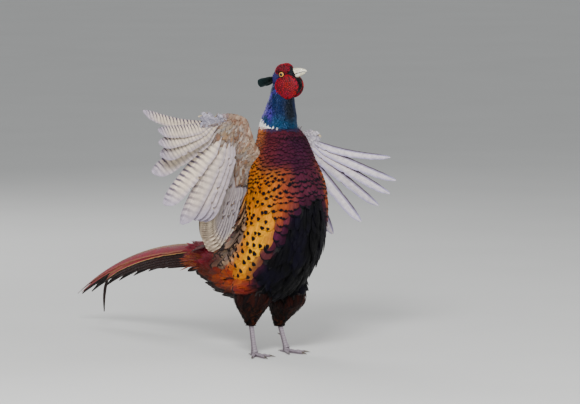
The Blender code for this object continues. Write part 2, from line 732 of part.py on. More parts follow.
def thigh(ankle, foot, forward, cuff):
    """The feathered drumstick, from inside the flank to just below the ankle."""
    ankle, foot = np.array(ankle, float), np.array(foot, float)
    x, y, z = ankle + (foot - ankle) * cuff / np.linalg.norm(foot - ankle)
    rows = (
        (x * 0.92, y * 0.3 + 8 - forward, z + 92, 30, 46),
        (x * 0.97, y * 0.4 + 8 - forward, z + 66, 34, 48),
        (x * 1.0, y * 0.6 + 4 - forward, z + 44, 30, 40),
        (x * 1.02, y * 0.8 + 1 - forward * 0.6, z + 26, 22, 28),
        (x * 1.01, y * 0.95 - forward * 0.2, z + 10, 13.5, 16),
        (x, y, z, 9.5, 10),
        (x, y, z - 5, 7, 7.5),
    )
    rings = []
    sides = 12
    for cx, cy, cz, wide, deep in through(rows, np.linspace(0, len(rows) - 1, 9)):
        turn = 2 * math.pi * np.arange(sides) / sides
        across, out = cx + wide * np.cos(turn), cy + deep * np.sin(turn)
        rings.append(np.column_stack([across, out, np.full(sides, cz)]))
    return loft(rings)


def shank(ankle, foot, grow=0.0):
    """The bare tarsus, its scutes raised as overlapping rings."""
    ankle, foot = np.array(ankle, float), np.array(foot, float)
    axis = unit(foot - ankle)
    across = unit(np.cross(axis, (0, 1, 0)))
    ahead = np.cross(across, axis)
    rings = []
    scutes, sides = 8, 8
    for step in range(2 * scutes + 1):
        share = step / (2 * scutes)
        radius = 4.1 + 2.0 * (2 * share - 1) ** 4 + (0.45 if step % 2 == 0 else 0.0) + grow
        centre = ankle + (foot - ankle) * share
        turn = 2 * math.pi * np.arange(sides)[:, None] / sides
        rings.append(centre + radius * (np.cos(turn) * across + 1.12 * np.sin(turn) * ahead))
    return loft(rings)


def toe_line(side, foot, turn_out, toe):
    """The toe's root, its aim over the floor, its length and its radius."""
    angle, length, radius = TOES[toe]
    turn = math.radians(angle + turn_out) * side
    aim = np.array([math.sin(turn), -math.cos(turn), 0.0])
    return np.array(foot, float), aim, length, radius


def toe(side, foot, turn_out, name):
    root, aim, length, radius = toe_line(side, foot, turn_out, name)
    cross = np.cross(aim, (0, 0, 1.0))
    sides, rings = 7, []
    knuckles = 3 if length > 25 else 2
    for step in range(2 * knuckles + 1):
        share = step / (2 * knuckles)
        size = radius * (1 - 0.32 * share) * (1.1 if step % 2 == 0 else 0.94)
        height = max(size * 0.82, 8.5 * (1 - share * 3))
        centre = root * (1, 1, 0) + aim * (length * share - 2) + np.array([0, 0, height])
        turn = 2 * math.pi * (np.arange(sides)[:, None] + 0.5) / sides
        ring = centre + size * (np.cos(turn) * cross + np.sin(turn) * np.array([0, 0, 1.0]))
        ring[:, 2] = np.maximum(ring[:, 2], 0)
        rings.append(ring)
    return loft(rings)


def claw(side, foot, turn_out, name):
    root, aim, length, radius = toe_line(side, foot, turn_out, name)
    cross = np.cross(aim, (0, 0, 1.0))
    start = root * (1, 1, 0) + aim * (length - 2 - 3.0)
    rings = []
    size = radius * 0.62
    reach = CLAW_LENGTH * (0.8 if name == "hind" else 1)
    for share in np.linspace(0, 1, 5):
        r = size * (1 - 0.82 * share)
        height = (size + 0.5 + 1.2 * math.sin(math.pi * share * 0.8) * (1 - share)) * (1 - share * 0.4)
        centre = start + aim * (3.0 + reach) * share + np.array([0, 0, max(height, r + 0.15)])
        turn = 2 * math.pi * np.arange(5)[:, None] / 5
        rings.append(centre + r * (0.8 * np.cos(turn) * cross + np.sin(turn) * np.array([0, 0, 1.0])))
    return loft(rings)


def foot_pieces(side, foot, turn_out):
    heel = ball((foot[0], foot[1], HEEL_HEIGHT), np.diag([6.4, 7.2, 6.8]), sides=10, rings=6)
    heel[0][:, 2] = np.maximum(heel[0][:, 2], 0)
    return [heel] + [toe(side, foot, turn_out, name) for name in TOES]


def spur(side, ankle, foot):
    """The cock's spur, on the back of the tarsus."""
    ankle, foot = np.array(ankle, float), np.array(foot, float)
    base = ankle + (foot - ankle) * 0.62
    aim = unit((-side * 0.5, 1, 0.15))
    cross = unit(np.cross(aim, (0, 0, 1.0)))
    rings = []
    for share in np.linspace(0, 1, 5):
        r = 2.7 * (1 - 0.85 * share)
        centre = base + aim * (2 + 11 * share) + np.array([0, 0, 1.6 * share**2])
        turn = 2 * math.pi * np.arange(8)[:, None] / 8
        rings.append(centre + r * (np.cos(turn) * cross + np.sin(turn) * np.array([0, 0, 1.0])))
    return loft(rings)


def make_head():
    grown_head, grown_throat = head_loft(GAP), throat(GAP)
    neck_grown = loft(body_loft(NECK_TOP, NECK_FOOT, NECK_RINGS, GAP, NECK_SIDES))
    tufts = ear_tuft(-1) + ear_tuft(1)
    pieces = [head_loft(), throat(), lids(-1), lids(1)] + tufts
    node("head", "head", pieces, [eye_ball(-1, GAP), eye_ball(1, GAP)])
    for side, name in ((-1, "right"), (1, "left")):
        node(f"eye_{name}", "eye", [eye_ball(side)])
        lid_room = ball(
            head_place((side * (EYE_PLACE[0] + 2.6), EYE_PLACE[1], EYE_PLACE[2])),
            head_turn(((0, 6.5, 0), (0, 0, 6.5), (side * 12, 0, 0))),
            sides=14, rings=7,
        )
        node(f"wattle_{name}", "wattle", wattle(side), [grown_head, grown_throat, neck_grown, lid_room])
    node("bill_upper", "bill", [bill_upper()], [grown_head, nostril(-1), nostril(1)])
    node("bill_lower", "bill", [bill_lower()], [grown_head, grown_throat])
    neck = loft(body_loft(NECK_TOP, NECK_FOOT, NECK_RINGS, sides=NECK_SIDES))
    node("neck", "neck", [neck], [grown_head, grown_throat])


def make_torso():
    node("torso", "torso", [loft(body_loft(*TORSO))])
    node("tail", "tail", tail_pieces())


def make_wings():
    grown = loft(body_loft(*TORSO, GAP))
    node("wing_right", "wing", wing_pieces(RIGHT_BOARD, RIGHT_FEATHERS, RIGHT_BACK, -1), [grown])
    node("wing_left", "wing", wing_pieces(LEFT_BOARD, LEFT_FEATHERS, LEFT_BACK, 1), [grown])


def make_legs():
    grown = loft(body_loft(*TORSO, GAP))
    for name, (side, ankle, foot, turn_out, forward, cuff) in LEGS.items():
        node(f"thigh_{name}", "thigh", [thigh(ankle, foot, forward, cuff)], [grown, shank(ankle, foot, GAP)])
        feet = foot_pieces(side, foot, turn_out)
        node(f"shank_{name}", "leg", [shank(ankle, foot)])
        claws = [claw(side, foot, turn_out, toe_name) for toe_name in TOES]
        grown_claws = [claw_room(side, foot, turn_out, toe_name) for toe_name in TOES]
        node(f"foot_{name}", "leg", feet, [shank(ankle, foot, GAP)] + grown_claws)
        for toe_name, piece in zip(TOES, claws):
            node(f"claw_{name}_{toe_name}", "claw", [piece])
        node(f"spur_{name}", "claw", [spur(side, ankle, foot)], [shank(ankle, foot, GAP)])


def claw_room(side, foot, turn_out, name):
    """The claw's socket in the toe: the claw's own shape grown by the gap."""
    points, faces = claw(side, foot, turn_out, name)
    middle = points.mean(0)
    root, aim, _, _ = toe_line(side, foot, turn_out, name)
    spread = points - middle
    lengthwise = (spread @ aim)[:, None] * aim
    sideways = spread - lengthwise
    reach = np.linalg.norm(sideways, axis=1, keepdims=True)
    grown = sideways * (1 + GAP / np.maximum(reach, 0.3)) + lengthwise * 1.06
    return middle + grown, faces


def centre_on_floor():
    """Moves the bird so that its origin is the middle of its footprint's box, on the floor."""
    bpy.context.view_layer.update()
    corners = np.array([obj.matrix_world @ v.co for obj in bpy.data.objects for v in obj.data.vertices])
    low, high = corners.min(0), corners.max(0)
    shift = ((low[0] + high[0]) / 2, (low[1] + high[1]) / 2, low[2])
    for obj in bpy.data.objects:
        for vertex in obj.data.vertices:
            vertex.co = [c - s for c, s in zip(vertex.co, shift)]


def main():
    for obj in list(bpy.data.objects):
        bpy.data.objects.remove(obj)
    make_torso()
    make_head()
    make_wings()
    make_legs()
    centre_on_floor()


main()
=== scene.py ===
"""A cock common pheasant in full plumage, crowing with its wings half open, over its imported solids."""

import math
from functools import partialmethod

import bpy
import numpy as np
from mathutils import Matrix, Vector, kdtree, noise


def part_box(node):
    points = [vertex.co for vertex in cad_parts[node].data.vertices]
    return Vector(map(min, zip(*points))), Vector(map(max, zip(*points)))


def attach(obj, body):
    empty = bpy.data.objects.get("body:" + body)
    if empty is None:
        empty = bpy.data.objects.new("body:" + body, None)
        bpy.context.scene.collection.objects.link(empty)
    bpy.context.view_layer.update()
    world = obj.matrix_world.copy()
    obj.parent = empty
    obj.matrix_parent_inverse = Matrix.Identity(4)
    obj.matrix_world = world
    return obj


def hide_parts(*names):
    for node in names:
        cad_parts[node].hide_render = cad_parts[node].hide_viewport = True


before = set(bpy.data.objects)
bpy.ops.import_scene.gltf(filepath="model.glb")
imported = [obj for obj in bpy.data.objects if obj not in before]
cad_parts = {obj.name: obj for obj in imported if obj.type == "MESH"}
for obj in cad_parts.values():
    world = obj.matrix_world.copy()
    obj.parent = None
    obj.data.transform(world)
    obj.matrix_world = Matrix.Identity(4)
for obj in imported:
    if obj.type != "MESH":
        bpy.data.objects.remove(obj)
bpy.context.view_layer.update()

# Tables are in millimetres, in the bird's own frame: it faces -Y and its right side is at -X.
MM = 0.001
UP = np.array([0, 0, 1.0])

# Stations of the body from head to tail: y, z, half width, depth to the belly, depth to the back
BODY = (
    (-24, 526, 17, 17, 17), (-22, 506, 21, 22, 21), (-20, 487, 24, 25, 25), (-16, 464, 30, 31, 30),
    (-11, 432, 39, 37, 38), (-20, 396, 55, 52, 56), (-26, 356, 66, 67, 69), (-34, 312, 75, 79, 76),
    (-32, 268, 78, 80, 78), (-16, 226, 79, 86, 78), (22, 190, 75, 88, 66), (76, 172, 62, 75, 54),
    (140, 166, 46, 60, 40), (198, 164, 29, 35, 24), (228, 161, 17, 19, 13),
)
BODY_END = 13.98
# The torso's solid: its first and last station, how many there are, and the points round each
TORSO, TORSO_SIDES = (3.912, 12, 23), 22
# The head: its middle, its turn to the left and its tilt up, in degrees
HEAD_CENTRE = (0, -26, 533)
HEAD_YAW, HEAD_PITCH = 30, 20
# Stations of the head: forward, height, half width, rise, drop
HEAD = (
    (-24, -3, 5, 5, 7), (-21, -2.5, 11, 9.5, 13), (-14, -1, 15.5, 14.5, 19), (-4, 0, 17.5, 20, 23),
    (6, 0, 16.5, 20.5, 22.5), (14, -0.5, 13, 17.5, 18), (20, -1.5, 9.5, 12.5, 13), (24.5, -2.5, 7, 8.5, 9),
    (27, -3, 3.5, 4, 4.5),
)
# In the head's own frame: the eye (sideways, forward, up), and the height of the line that parts the bill
EYE_PLACE, EYE_RADIUS = (14.2, 2.8, 3.4), 5.4
BILL_LINE = -3.6
# Wattle lobes: forward, up, half length, half height, reach from the head's middle, half depth
LOBES = ((4.0, -21.6, 23.2, 22.8, 23.0, 8.0), (5.0, 10.5, 14.6, 12.0, 19.5, 11.0))
# The throat's pouch: its middle and its half sizes
THROAT = (0, 8, -21), (14, 23, 18)

# The tail, from its middle pair outwards: lengths and widths, and each pair's step down
TAIL_ROOT = (0, 162, 193.4)
TAIL_LENGTHS = (474, 452, 412, 366, 318, 268, 222, 180, 146)
TAIL_WIDTHS = (40, 34, 31, 30, 29, 28, 27, 26, 25)
TAIL_STEP, RIDGE_OVERLAP = 2.8, 5.0
# Degrees that the tail bends down and that its root points up, the roof's radius and steepest slope
TAIL_DROOP, TAIL_RISE = 37.4, 2.2
TAIL_RIDGE, TAIL_SLOPE = 15.0, 60
# The tail feather whose tip hangs down, the share where it starts to, and how far
HANGING, HANG_START, HANG_DROP = (2, -1), 0.84, 58.0

# Wing boards: leading edge, trailing edge and thickness, from the hand's tip to the shoulder
BOARDS = {
    -1: (
        ((-146, -4, 467), (-138, 2, 450), 6), ((-114, -10, 468), (-114, 4, 438), 9),
        ((-84, -16, 457), (-99, 12, 411), 13), ((-73, -20, 431), (-97, 26, 384), 16),
        ((-60, -22, 402), (-80, 34, 356), 20), ((-34, -24, 376), (-42, 26, 346), 25),
    ),
    1: (
        ((104, 42, 425), (98, 50, 408), 6), ((84, 54, 431), (80, 66, 402), 9),
        ((62, 68, 430), (58, 84, 394), 14), ((50, 76, 412), (44, 94, 364), 18),
        ((44, 48, 396), (36, 82, 348), 22), ((40, -6, 378), (34, 38, 338), 26),
    ),
}
# Flight feathers, outermost first: number, place of the tip, width, twist at the tip and bend
FLIGHTS = {
    -1: (
        (0, (-310, 9, 482), 19, 14, 10), (1, (-306, -30, 449), 22, 14, 12),
        (2, (-303, -28, 425), 24, 14, 12), (3, (-297, -24, 402), 29, 13, 12),
        (4, (-297, 0, 368), 32, 12, 12), (5, (-262, 10, 305), 33, 12, 10),
        (6, (-218, 14, 265), 31, 12, 8), (7, (-187, 14, 270), 29, 12, 8), (9, (-158, 20, 264), 30, 12, 8),
        (12, (-150, 34, 247), 32, 12, 10), (15, (-136, 48, 229), 33, 12, 10),
        (18, (-104, 66, 197), 35, 12, 10), (20, (-80, 57, 226), 34, 12, 10),
        (21.5, (-58, 48, 262), 32, 12, 10), (23, (-40, 36, 313), 28, 12, 8),
    ),
    1: (
        (0, (232, -67, 368), 19, 50, 14), (1, (237, -78, 324), 23, 50, 16), (2, (226, -73, 299), 25, 50, 16),
        (3, (208, -61, 276), 26, 48, 16), (4, (180, -42, 246), 27, 42, 14), (5, (140, -6, 222), 28, 30, 12),
        (6, (118, 22, 217), 29, 18, 10), (9, (92, 58, 226), 30, 12, 10), (12, (84, 76, 218), 32, 12, 10),
        (15, (77, 92, 210), 33, 12, 10), (18, (65, 112, 200), 35, 12, 10),
        (20, (58, 108, 222), 34, 12, 10), (21.5, (48, 94, 252), 32, 12, 10), (23, (40, 76, 292), 28, 12, 8),
    ),
}
# How many feathers the hand has, the forearm's last one, and the innermost
PRIMARIES, LAST, INNERMOST = 10, 18, 23
# Where the forearm ends along the board, and which way the wing's back faces at the tip and at the shoulder
FOREARM_END = {-1: 3.85, 1: 3.05}
BACKS = {-1: ((0.05, 1, 0), (0.2, 1, 0.1)), 1: ((0.643, 0.766, 0), (0.643, 0.766, 0))}
# Legs: ankle, foot, turn of the foot, the thigh's push forward, and the feathers' reach below the ankle
LEGS = {-1: ((-41, 24, 72), (-40, 13, 9), 12, 0, 9), 1: ((39, 41, 71), (41, 16, 9), 6, 11, 18)}
# Toes: degrees outwards from straight ahead, length and radius
TOES = {"middle": (0, 46, 4.0), "inner": (-38, 35, 3.6), "outer": (34, 38, 3.6), "hind": (178, 17, 3.0)}
SIDES = {-1: "right", 1: "left"}


def unit(vector):
    vector = np.asarray(vector, float)
    return vector / np.maximum(np.linalg.norm(vector, axis=-1, keepdims=True), 1e-9)


def through(rows, where):
    """Catmull-Rom curve through the rows of a table, at fractional row numbers."""
    rows = np.asarray(rows, float)
    where = np.atleast_1d(np.asarray(where, float))
    index = np.clip(where.astype(int), 0, len(rows) - 2)
    t = (where - index)[:, None]
    before, a = rows[np.maximum(index - 1, 0)], rows[index]
    b, after = rows[index + 1], rows[np.minimum(index + 2, len(rows) - 1)]
    bend = before - 2.5 * a + 2 * b - 0.5 * after
    return a + 0.5 * t * (b - before) + t**2 * bend + t**3 * (1.5 * (a - b) + 0.5 * (after - before))


def ramp(x, low, high):
    """A smooth rise from 0 at low to 1 at high."""
    t = np.clip((np.asarray(x, float) - low) / (high - low), 0, 1)
    return t * t * (3 - 2 * t)


def fade(x, low, high):
    return 1 - ramp(x, low, high)


def turns(count):
    """Angles evenly round a whole turn."""
    return 2 * np.pi * np.arange(count) / count


def blend(a, b, weight):
    """From a to b by weight; either may be a hex code."""
    a, b = (rgb(x) if isinstance(x, str) else np.asarray(x, float) for x in (a, b))
    weight = np.asarray(weight, float)[..., None]
    return a * (1 - weight) + b * weight


def layers(tint, *coats):
    """Colours laid over a tint in turn, each by its own weight."""
    for colour, weight in coats:
        tint = blend(tint, colour, weight)
    return tint


def toss(u, v, seed=0.0):
    """A steady chance from 0 to 1 for each pair of places."""
    mixed = np.asarray(u, float) * 12.9898 + np.asarray(v, float) * 78.233 + seed
    return np.abs(np.modf(np.sin(mixed) * 43758.5)[0])


def rgb(code):
    """Linear colour of a hex code."""
    shares = np.array([int(code[i:i + 2], 16) / 255 for i in (0, 2, 4)])
    return np.where(shares < 0.04045, shares / 12.92, ((shares + 0.055) / 1.055) ** 2.4)


def grain(points, scale, seed=0.0):
    """Smooth noise from about -1 to 1 at each point."""
    flat = np.asarray(points, float).reshape(-1, 3) / scale + seed
    return np.array([noise.noise(Vector(p)) for p in flat]).reshape(np.shape(points)[:-1]) * 1.6


# The skin's shapes as surfaces: points at (u, v), pushed out by h millimetres.

def on_grids(surface):
    """Let a surface that is made for flat arrays take any that go together."""
    def spread(*places):
        places = np.broadcast_arrays(*(np.asarray(x, float) for x in places))
        return surface(*(x.ravel() for x in places)).reshape(*places[0].shape, 3)
    return spread


@on_grids
def body_at(s, v, h):
    """s runs from head to tail; v is in degrees round from the belly, the left side positive."""
    past, s = 30 * np.clip(s - BODY_END, 0, None), np.clip(s, 0, BODY_END)
    y, z, wide, belly, back = through(BODY, s).T
    along = unit(through(BODY, s + 1e-3)[:, :2] - through(BODY, s - 1e-3)[:, :2])
    turn = np.radians(v - 90)
    deep = (np.where(np.sin(turn) > 0, back, belly) + h) * np.sin(turn)
    spots = np.column_stack([(wide + h) * np.cos(turn), y - along[:, 1] * deep, z + along[:, 0] * deep])
    spots[:, 1:] += along * past[:, None]
    return spots


def head_place(points):
    """Points of the head's own frame (sideways, forward, up) in the bird's frame."""
    yaw, pitch = math.radians(HEAD_YAW), math.radians(HEAD_PITCH)
    points = np.asarray(points, float)
    ahead = points[..., 1] * math.cos(pitch) - points[..., 2] * math.sin(pitch)
    up = points[..., 1] * math.sin(pitch) + points[..., 2] * math.cos(pitch)
    side = points[..., 0]
    return np.stack([
        HEAD_CENTRE[0] + side * math.cos(yaw) + ahead * math.sin(yaw),
        HEAD_CENTRE[1] + side * math.sin(yaw) - ahead * math.cos(yaw),
        HEAD_CENTRE[2] + up,
    ], axis=-1)


def head_turn(vector):
    return head_place(vector) - head_place((0, 0, 0))


@on_grids
def head_own(u, v, h):
    """The head's surface in its own frame; u runs from the bill backwards, v round from the throat."""
    ahead, up, wide, rise, drop = through(HEAD, np.clip(8 - u, 0, 8)).T
    turn = np.radians(v - 90)
    tall = np.where(np.sin(turn) > 0, rise, drop) + h
    end = np.clip(1 - u, 0, 1) - np.clip(u - 7, 0, 1)
    return np.column_stack([(wide + h) * np.cos(turn), ahead + h * end, up + tall * np.sin(turn)])


def head_at(u, v, h):
    return head_place(head_own(u, v, h))


@on_grids
def throat_at(u, v, h):
    """The pouch of the throat, between the wattles; u runs from its front backwards in degrees."""
    down, turn = np.radians(u), np.radians(v)
    out = np.column_stack([np.sin(down) * np.cos(turn), np.cos(down), np.sin(down) * np.sin(turn)])
    return head_place(np.array(THROAT[0]) + out * (np.array(THROAT[1]) + h[:, None]))


def thigh_rows(side):
    """Stations of a thigh from the hip to the cuff: x, y, z, half width, half length."""
    ankle, foot, _, forward, cuff = LEGS[side]
    ankle, foot = np.array(ankle, float), np.array(foot, float)
    x, y, z = ankle + (foot - ankle) * cuff / np.linalg.norm(foot - ankle)
    return (
        (x * 0.92, y * 0.3 + 8 - forward, z + 92, 30, 46), (x * 0.97, y * 0.4 + 8 - forward, z + 66, 34, 48),
        (x, y * 0.6 + 4 - forward, z + 44, 30, 40), (x * 1.02, y * 0.8 + 1 - forward * 0.6, z + 26, 22, 28),
        (x * 1.01, y * 0.95 - forward * 0.2, z + 10, 13.5, 16), (x, y, z, 9.5, 10), (x, y, z - 5, 7, 7.5),
    )


def thigh_at(side):
    """A thigh's surface; u runs down its stations, v in degrees round it."""
    stations = thigh_rows(side)

    @on_grids
    def surface(u, v, h):
        x, y, z, wide, deep = through(stations, np.clip(u, 0, len(stations) - 1.001)).T
        turn = np.radians(v - 90)
        return np.column_stack([x + (wide + h) * np.cos(turn), y + (deep + h) * np.sin(turn), z])
    return surface


def flank_at(s, v, h):
    """The body's surface, drawn out over the tops of the thighs."""
    spots = body_at(s, v, h)
    h = np.broadcast_to(h, spots.shape[:-1])
    for side in LEGS:
        rows = through(thigh_rows(side), np.linspace(0, 3.6, 37))[::-1]
        level = np.clip(spots[..., 2], rows[0, 2], rows[-1, 2])
        x, y, wide, deep = (np.interp(level, rows[:, 2], rows[:, i]) for i in (0, 1, 3, 4))
        off = np.stack([(spots[..., 0] - x) / (wide + h), (spots[..., 1] - y) / (deep + h)], axis=-1)
        away = np.linalg.norm(off, axis=-1)
        inside = (away < 1) & (spots[..., 2] < rows[-1, 2]) & (spots[..., 2] > rows[0, 2] - 20)
        push = off / np.maximum(away, 0.05)[..., None] * np.stack([wide + h, deep + h], axis=-1)
        out = np.stack([x, y], axis=-1) + push
        spots = np.concatenate([np.where(inside[..., None], out, spots[..., :2]), spots[..., 2:]], axis=-1)
    return spots


# Wings: the frames of the flight feathers, and a sheet that runs from the leading edge along them.

def flight_frames(side, numbers):
    """For each flight feather: its root in the board, its own frame and sizes."""
    table = np.array([(n, *tip, width, twist, bend) for n, tip, width, twist, bend in FLIGHTS[side]])
    rows = np.array([(*lead, *trail, thick) for lead, trail, thick in BOARDS[side]], float)
    back, made = BACKS[side], []
    for number in numbers:
        known = min(max(number, 0), INNERMOST)
        *tip, width, twist, bend = [np.interp(known, table[:, 0], table[:, i]) for i in range(1, 7)]
        inner = max((min(known, LAST) - PRIMARIES + 1) / (LAST + 1 - PRIMARIES), 0)
        share = 0.12 + 1.75 * min(known, PRIMARIES - 1) / (PRIMARIES - 1)
        share += inner * (FOREARM_END[side] - share)
        share += max(known - LAST, 0) / (INNERMOST - LAST) * (4.9 - share)
        row = through(rows, share)[0]
        root = row[:3] + (row[3:6] - row[:3]) * (0.5 + 0.16 * inner)
        tip = np.array(tip)
        aim = unit(tip - root)
        mix = min(known / LAST, 1)
        up = unit(np.array(back[0]) * (1 - mix) + np.array(back[1]) * mix)
        up = unit(up - (up @ aim) * aim)
        made.append(dict(root=root, along=aim, up=up, lead=-side * np.cross(up, aim), width=width,
                         length=np.linalg.norm(tip - root), twist=twist, bend=bend, number=number,
                         thick=row[6], edge=row[:3], trail=row[3:6]))
    return made


def shaft_points(root, along, up, length, bend, shares):
    """Points on a shaft whose chord runs along, and which turns by bend away from up."""
    turn = math.radians(bend) if abs(bend) > 0.1 else math.radians(0.1)
    shares = np.asarray(shares, float)[:, None]
    forward = (np.sin(turn * (shares - 0.5)) + math.sin(turn / 2)) / turn
    rise = (np.cos(turn * (shares - 0.5)) - math.cos(turn / 2)) / turn
    normal = up * np.cos(turn * (shares - 0.5)) + along * np.sin(turn * (shares - 0.5))
    return root + length * (forward * along + rise * up), normal


# The sheet's grid: feather numbers, and millimetres back from the leading edge
SHEET_START, SHEET_STEP, SHEET_PITCH = -3, 0.25, 3.0
SHEET_NUMBERS = np.arange(SHEET_START, INNERMOST + 3.01, SHEET_STEP)
SHEET_REACH = np.arange(0, 130.1, SHEET_PITCH)
# Height of the board's upper and lower face over its chord, in shares of its thickness
SECTION = (0, 0.1, 0.38, 0.78, 1.1, 3)
FACES = {1: (0, 0.42, 0.5, 0.28, 0.12, 0.02), -1: (0, 0.3, 0.36, 0.26, 0.12, 0.02)}


def wing_sheet(side, face):
    """A surface over one face of the wing; u is the way back from the leading edge, v a feather's number."""
    spots, normals = [], []
    for f in flight_frames(side, SHEET_NUMBERS):
        chord = f["root"] - f["edge"]
        depth = np.linalg.norm(chord)
        over = np.clip(SHEET_REACH / depth, 0, 1)[:, None]
        beyond = np.clip(SHEET_REACH - depth, 0, None) / f["length"]
        line, up = shaft_points(f["root"], f["along"], f["up"], f["length"], f["bend"], beyond)
        line = np.where(over < 1, f["edge"] + chord * over, line)
        share = SHEET_REACH / max(np.linalg.norm(f["trail"] - f["edge"]), 1)
        height = np.interp(share, SECTION, FACES[face]) * f["thick"]
        past = 7.0 * (min(f["number"], 0) + max(f["number"] - INNERMOST, 0))
        spots.append(line + up * (face * height)[:, None] - f["lead"] * past - up * (face * past**2 / 80))
        normals.append(up * face)
    spots, normals = np.array(spots), np.array(normals)

    @on_grids
    def surface(u, v, h):
        a = np.clip(u / SHEET_PITCH, 0, len(SHEET_REACH) - 1.001)
        b = np.clip((v - SHEET_START) / SHEET_STEP, 0, len(SHEET_NUMBERS) - 1.001)
        i, j = a.astype(int), b.astype(int)
        p, q = (a - i)[:, None], (b - j)[:, None]

        def at(grid):
            near = grid[j, i] * (1 - p) + grid[j, i + 1] * p
            far = grid[j + 1, i] * (1 - p) + grid[j + 1, i + 1] * p
            return near * (1 - q) + far * q
        return at(spots) + unit(at(normals)) * h[:, None]
    return surface


# Feathers: half widths at shares of their length, and places across them

ROUND = ((0, 0.35), (0.25, 0.8), (0.5, 1), (0.72, 0.97), (0.88, 0.72), (0.96, 0.42), (1, 0.14))
LONG = ((0, 0.4), (0.3, 0.9), (0.55, 1), (0.75, 0.84), (0.9, 0.5), (1, 0.08))
SMALL = ((0, 0.5), (0.35, 0.95), (0.7, 0.95), (0.9, 0.62), (1, 0.15))
FIVE, THREE = np.array([-1, -0.5, 0, 0.5, 1]), np.array([-1, 0, 1.0])


def leaf_faces(rows, columns):
    """A closed leaf: a grid on top, and a spine below that its rim is drawn down to."""
    def grid(i, j):
        return i * columns + j

    faces, spine, last = [], rows * columns, columns - 1
    for i in range(rows - 1):
        faces += [(grid(i, j), grid(i, j + 1), grid(i + 1, j + 1), grid(i + 1, j)) for j in range(last)]
        faces.append((grid(i, 0), grid(i + 1, 0), spine + i + 1, spine + i))
        faces.append((spine + i, spine + i + 1, grid(i + 1, last), grid(i, last)))
    for j in range(last):
        faces.append((grid(0, j + 1), grid(0, j), spine))
        faces.append((spine + rows - 1, grid(rows - 1, j), grid(rows - 1, j + 1)))
    return faces


def slab_faces(rows, columns):
    """A closed blade: two grids of equal size, joined round their rims."""
    half, last = rows * columns, columns - 1
    starts = [i * columns + j for i in range(rows - 1) for j in range(last)]
    faces = [(a, a + 1, a + columns + 1, a + columns) for a in starts]
    faces += [tuple(k + half for k in face[::-1]) for face in faces]
    rim = [*range(last)] + [i * columns + last for i in range(rows - 1)]
    rim += [(rows - 1) * columns + j for j in range(last, 0, -1)]
    rim += [i * columns for i in range(rows - 1, 0, -1)]
    for a, b in zip(rim, rim[1:] + rim[:1]):
        faces.append((b, a, a + half, b + half))
    return faces


def ring_faces(rings, around, closed=False):
    """Faces between rings of points, and from the last ring back to the first where closed."""
    faces = []
    for i in range(rings if closed else rings - 1):
        this, after = i * around, (i + 1) % rings * around
        for j in range(around):
            k = (j + 1) % around
            faces.append((this + j, this + k, after + k, after + j))
    return faces


def tube(rings, tint=None):
    """One item for a mesh: a tube through rings, each end closed by a fan round an added point."""
    rings = np.asarray(rings, float)
    count, around, _ = rings.shape
    faces, first, end = ring_faces(count, around), count * around, (count - 1) * around
    for j in range(around):
        k = (j + 1) % around
        faces += [(first, k, j), (first + 1, end + j, end + k)]
    points = np.vstack([rings.reshape(-1, 3), rings[0].mean(0), rings[-1].mean(0)])
    made = dict(points=points[None], faces=faces)
    if tint is not None:
        made["tint"] = np.vstack([tint, tint[:1], tint[-1:]])[None]
    return made


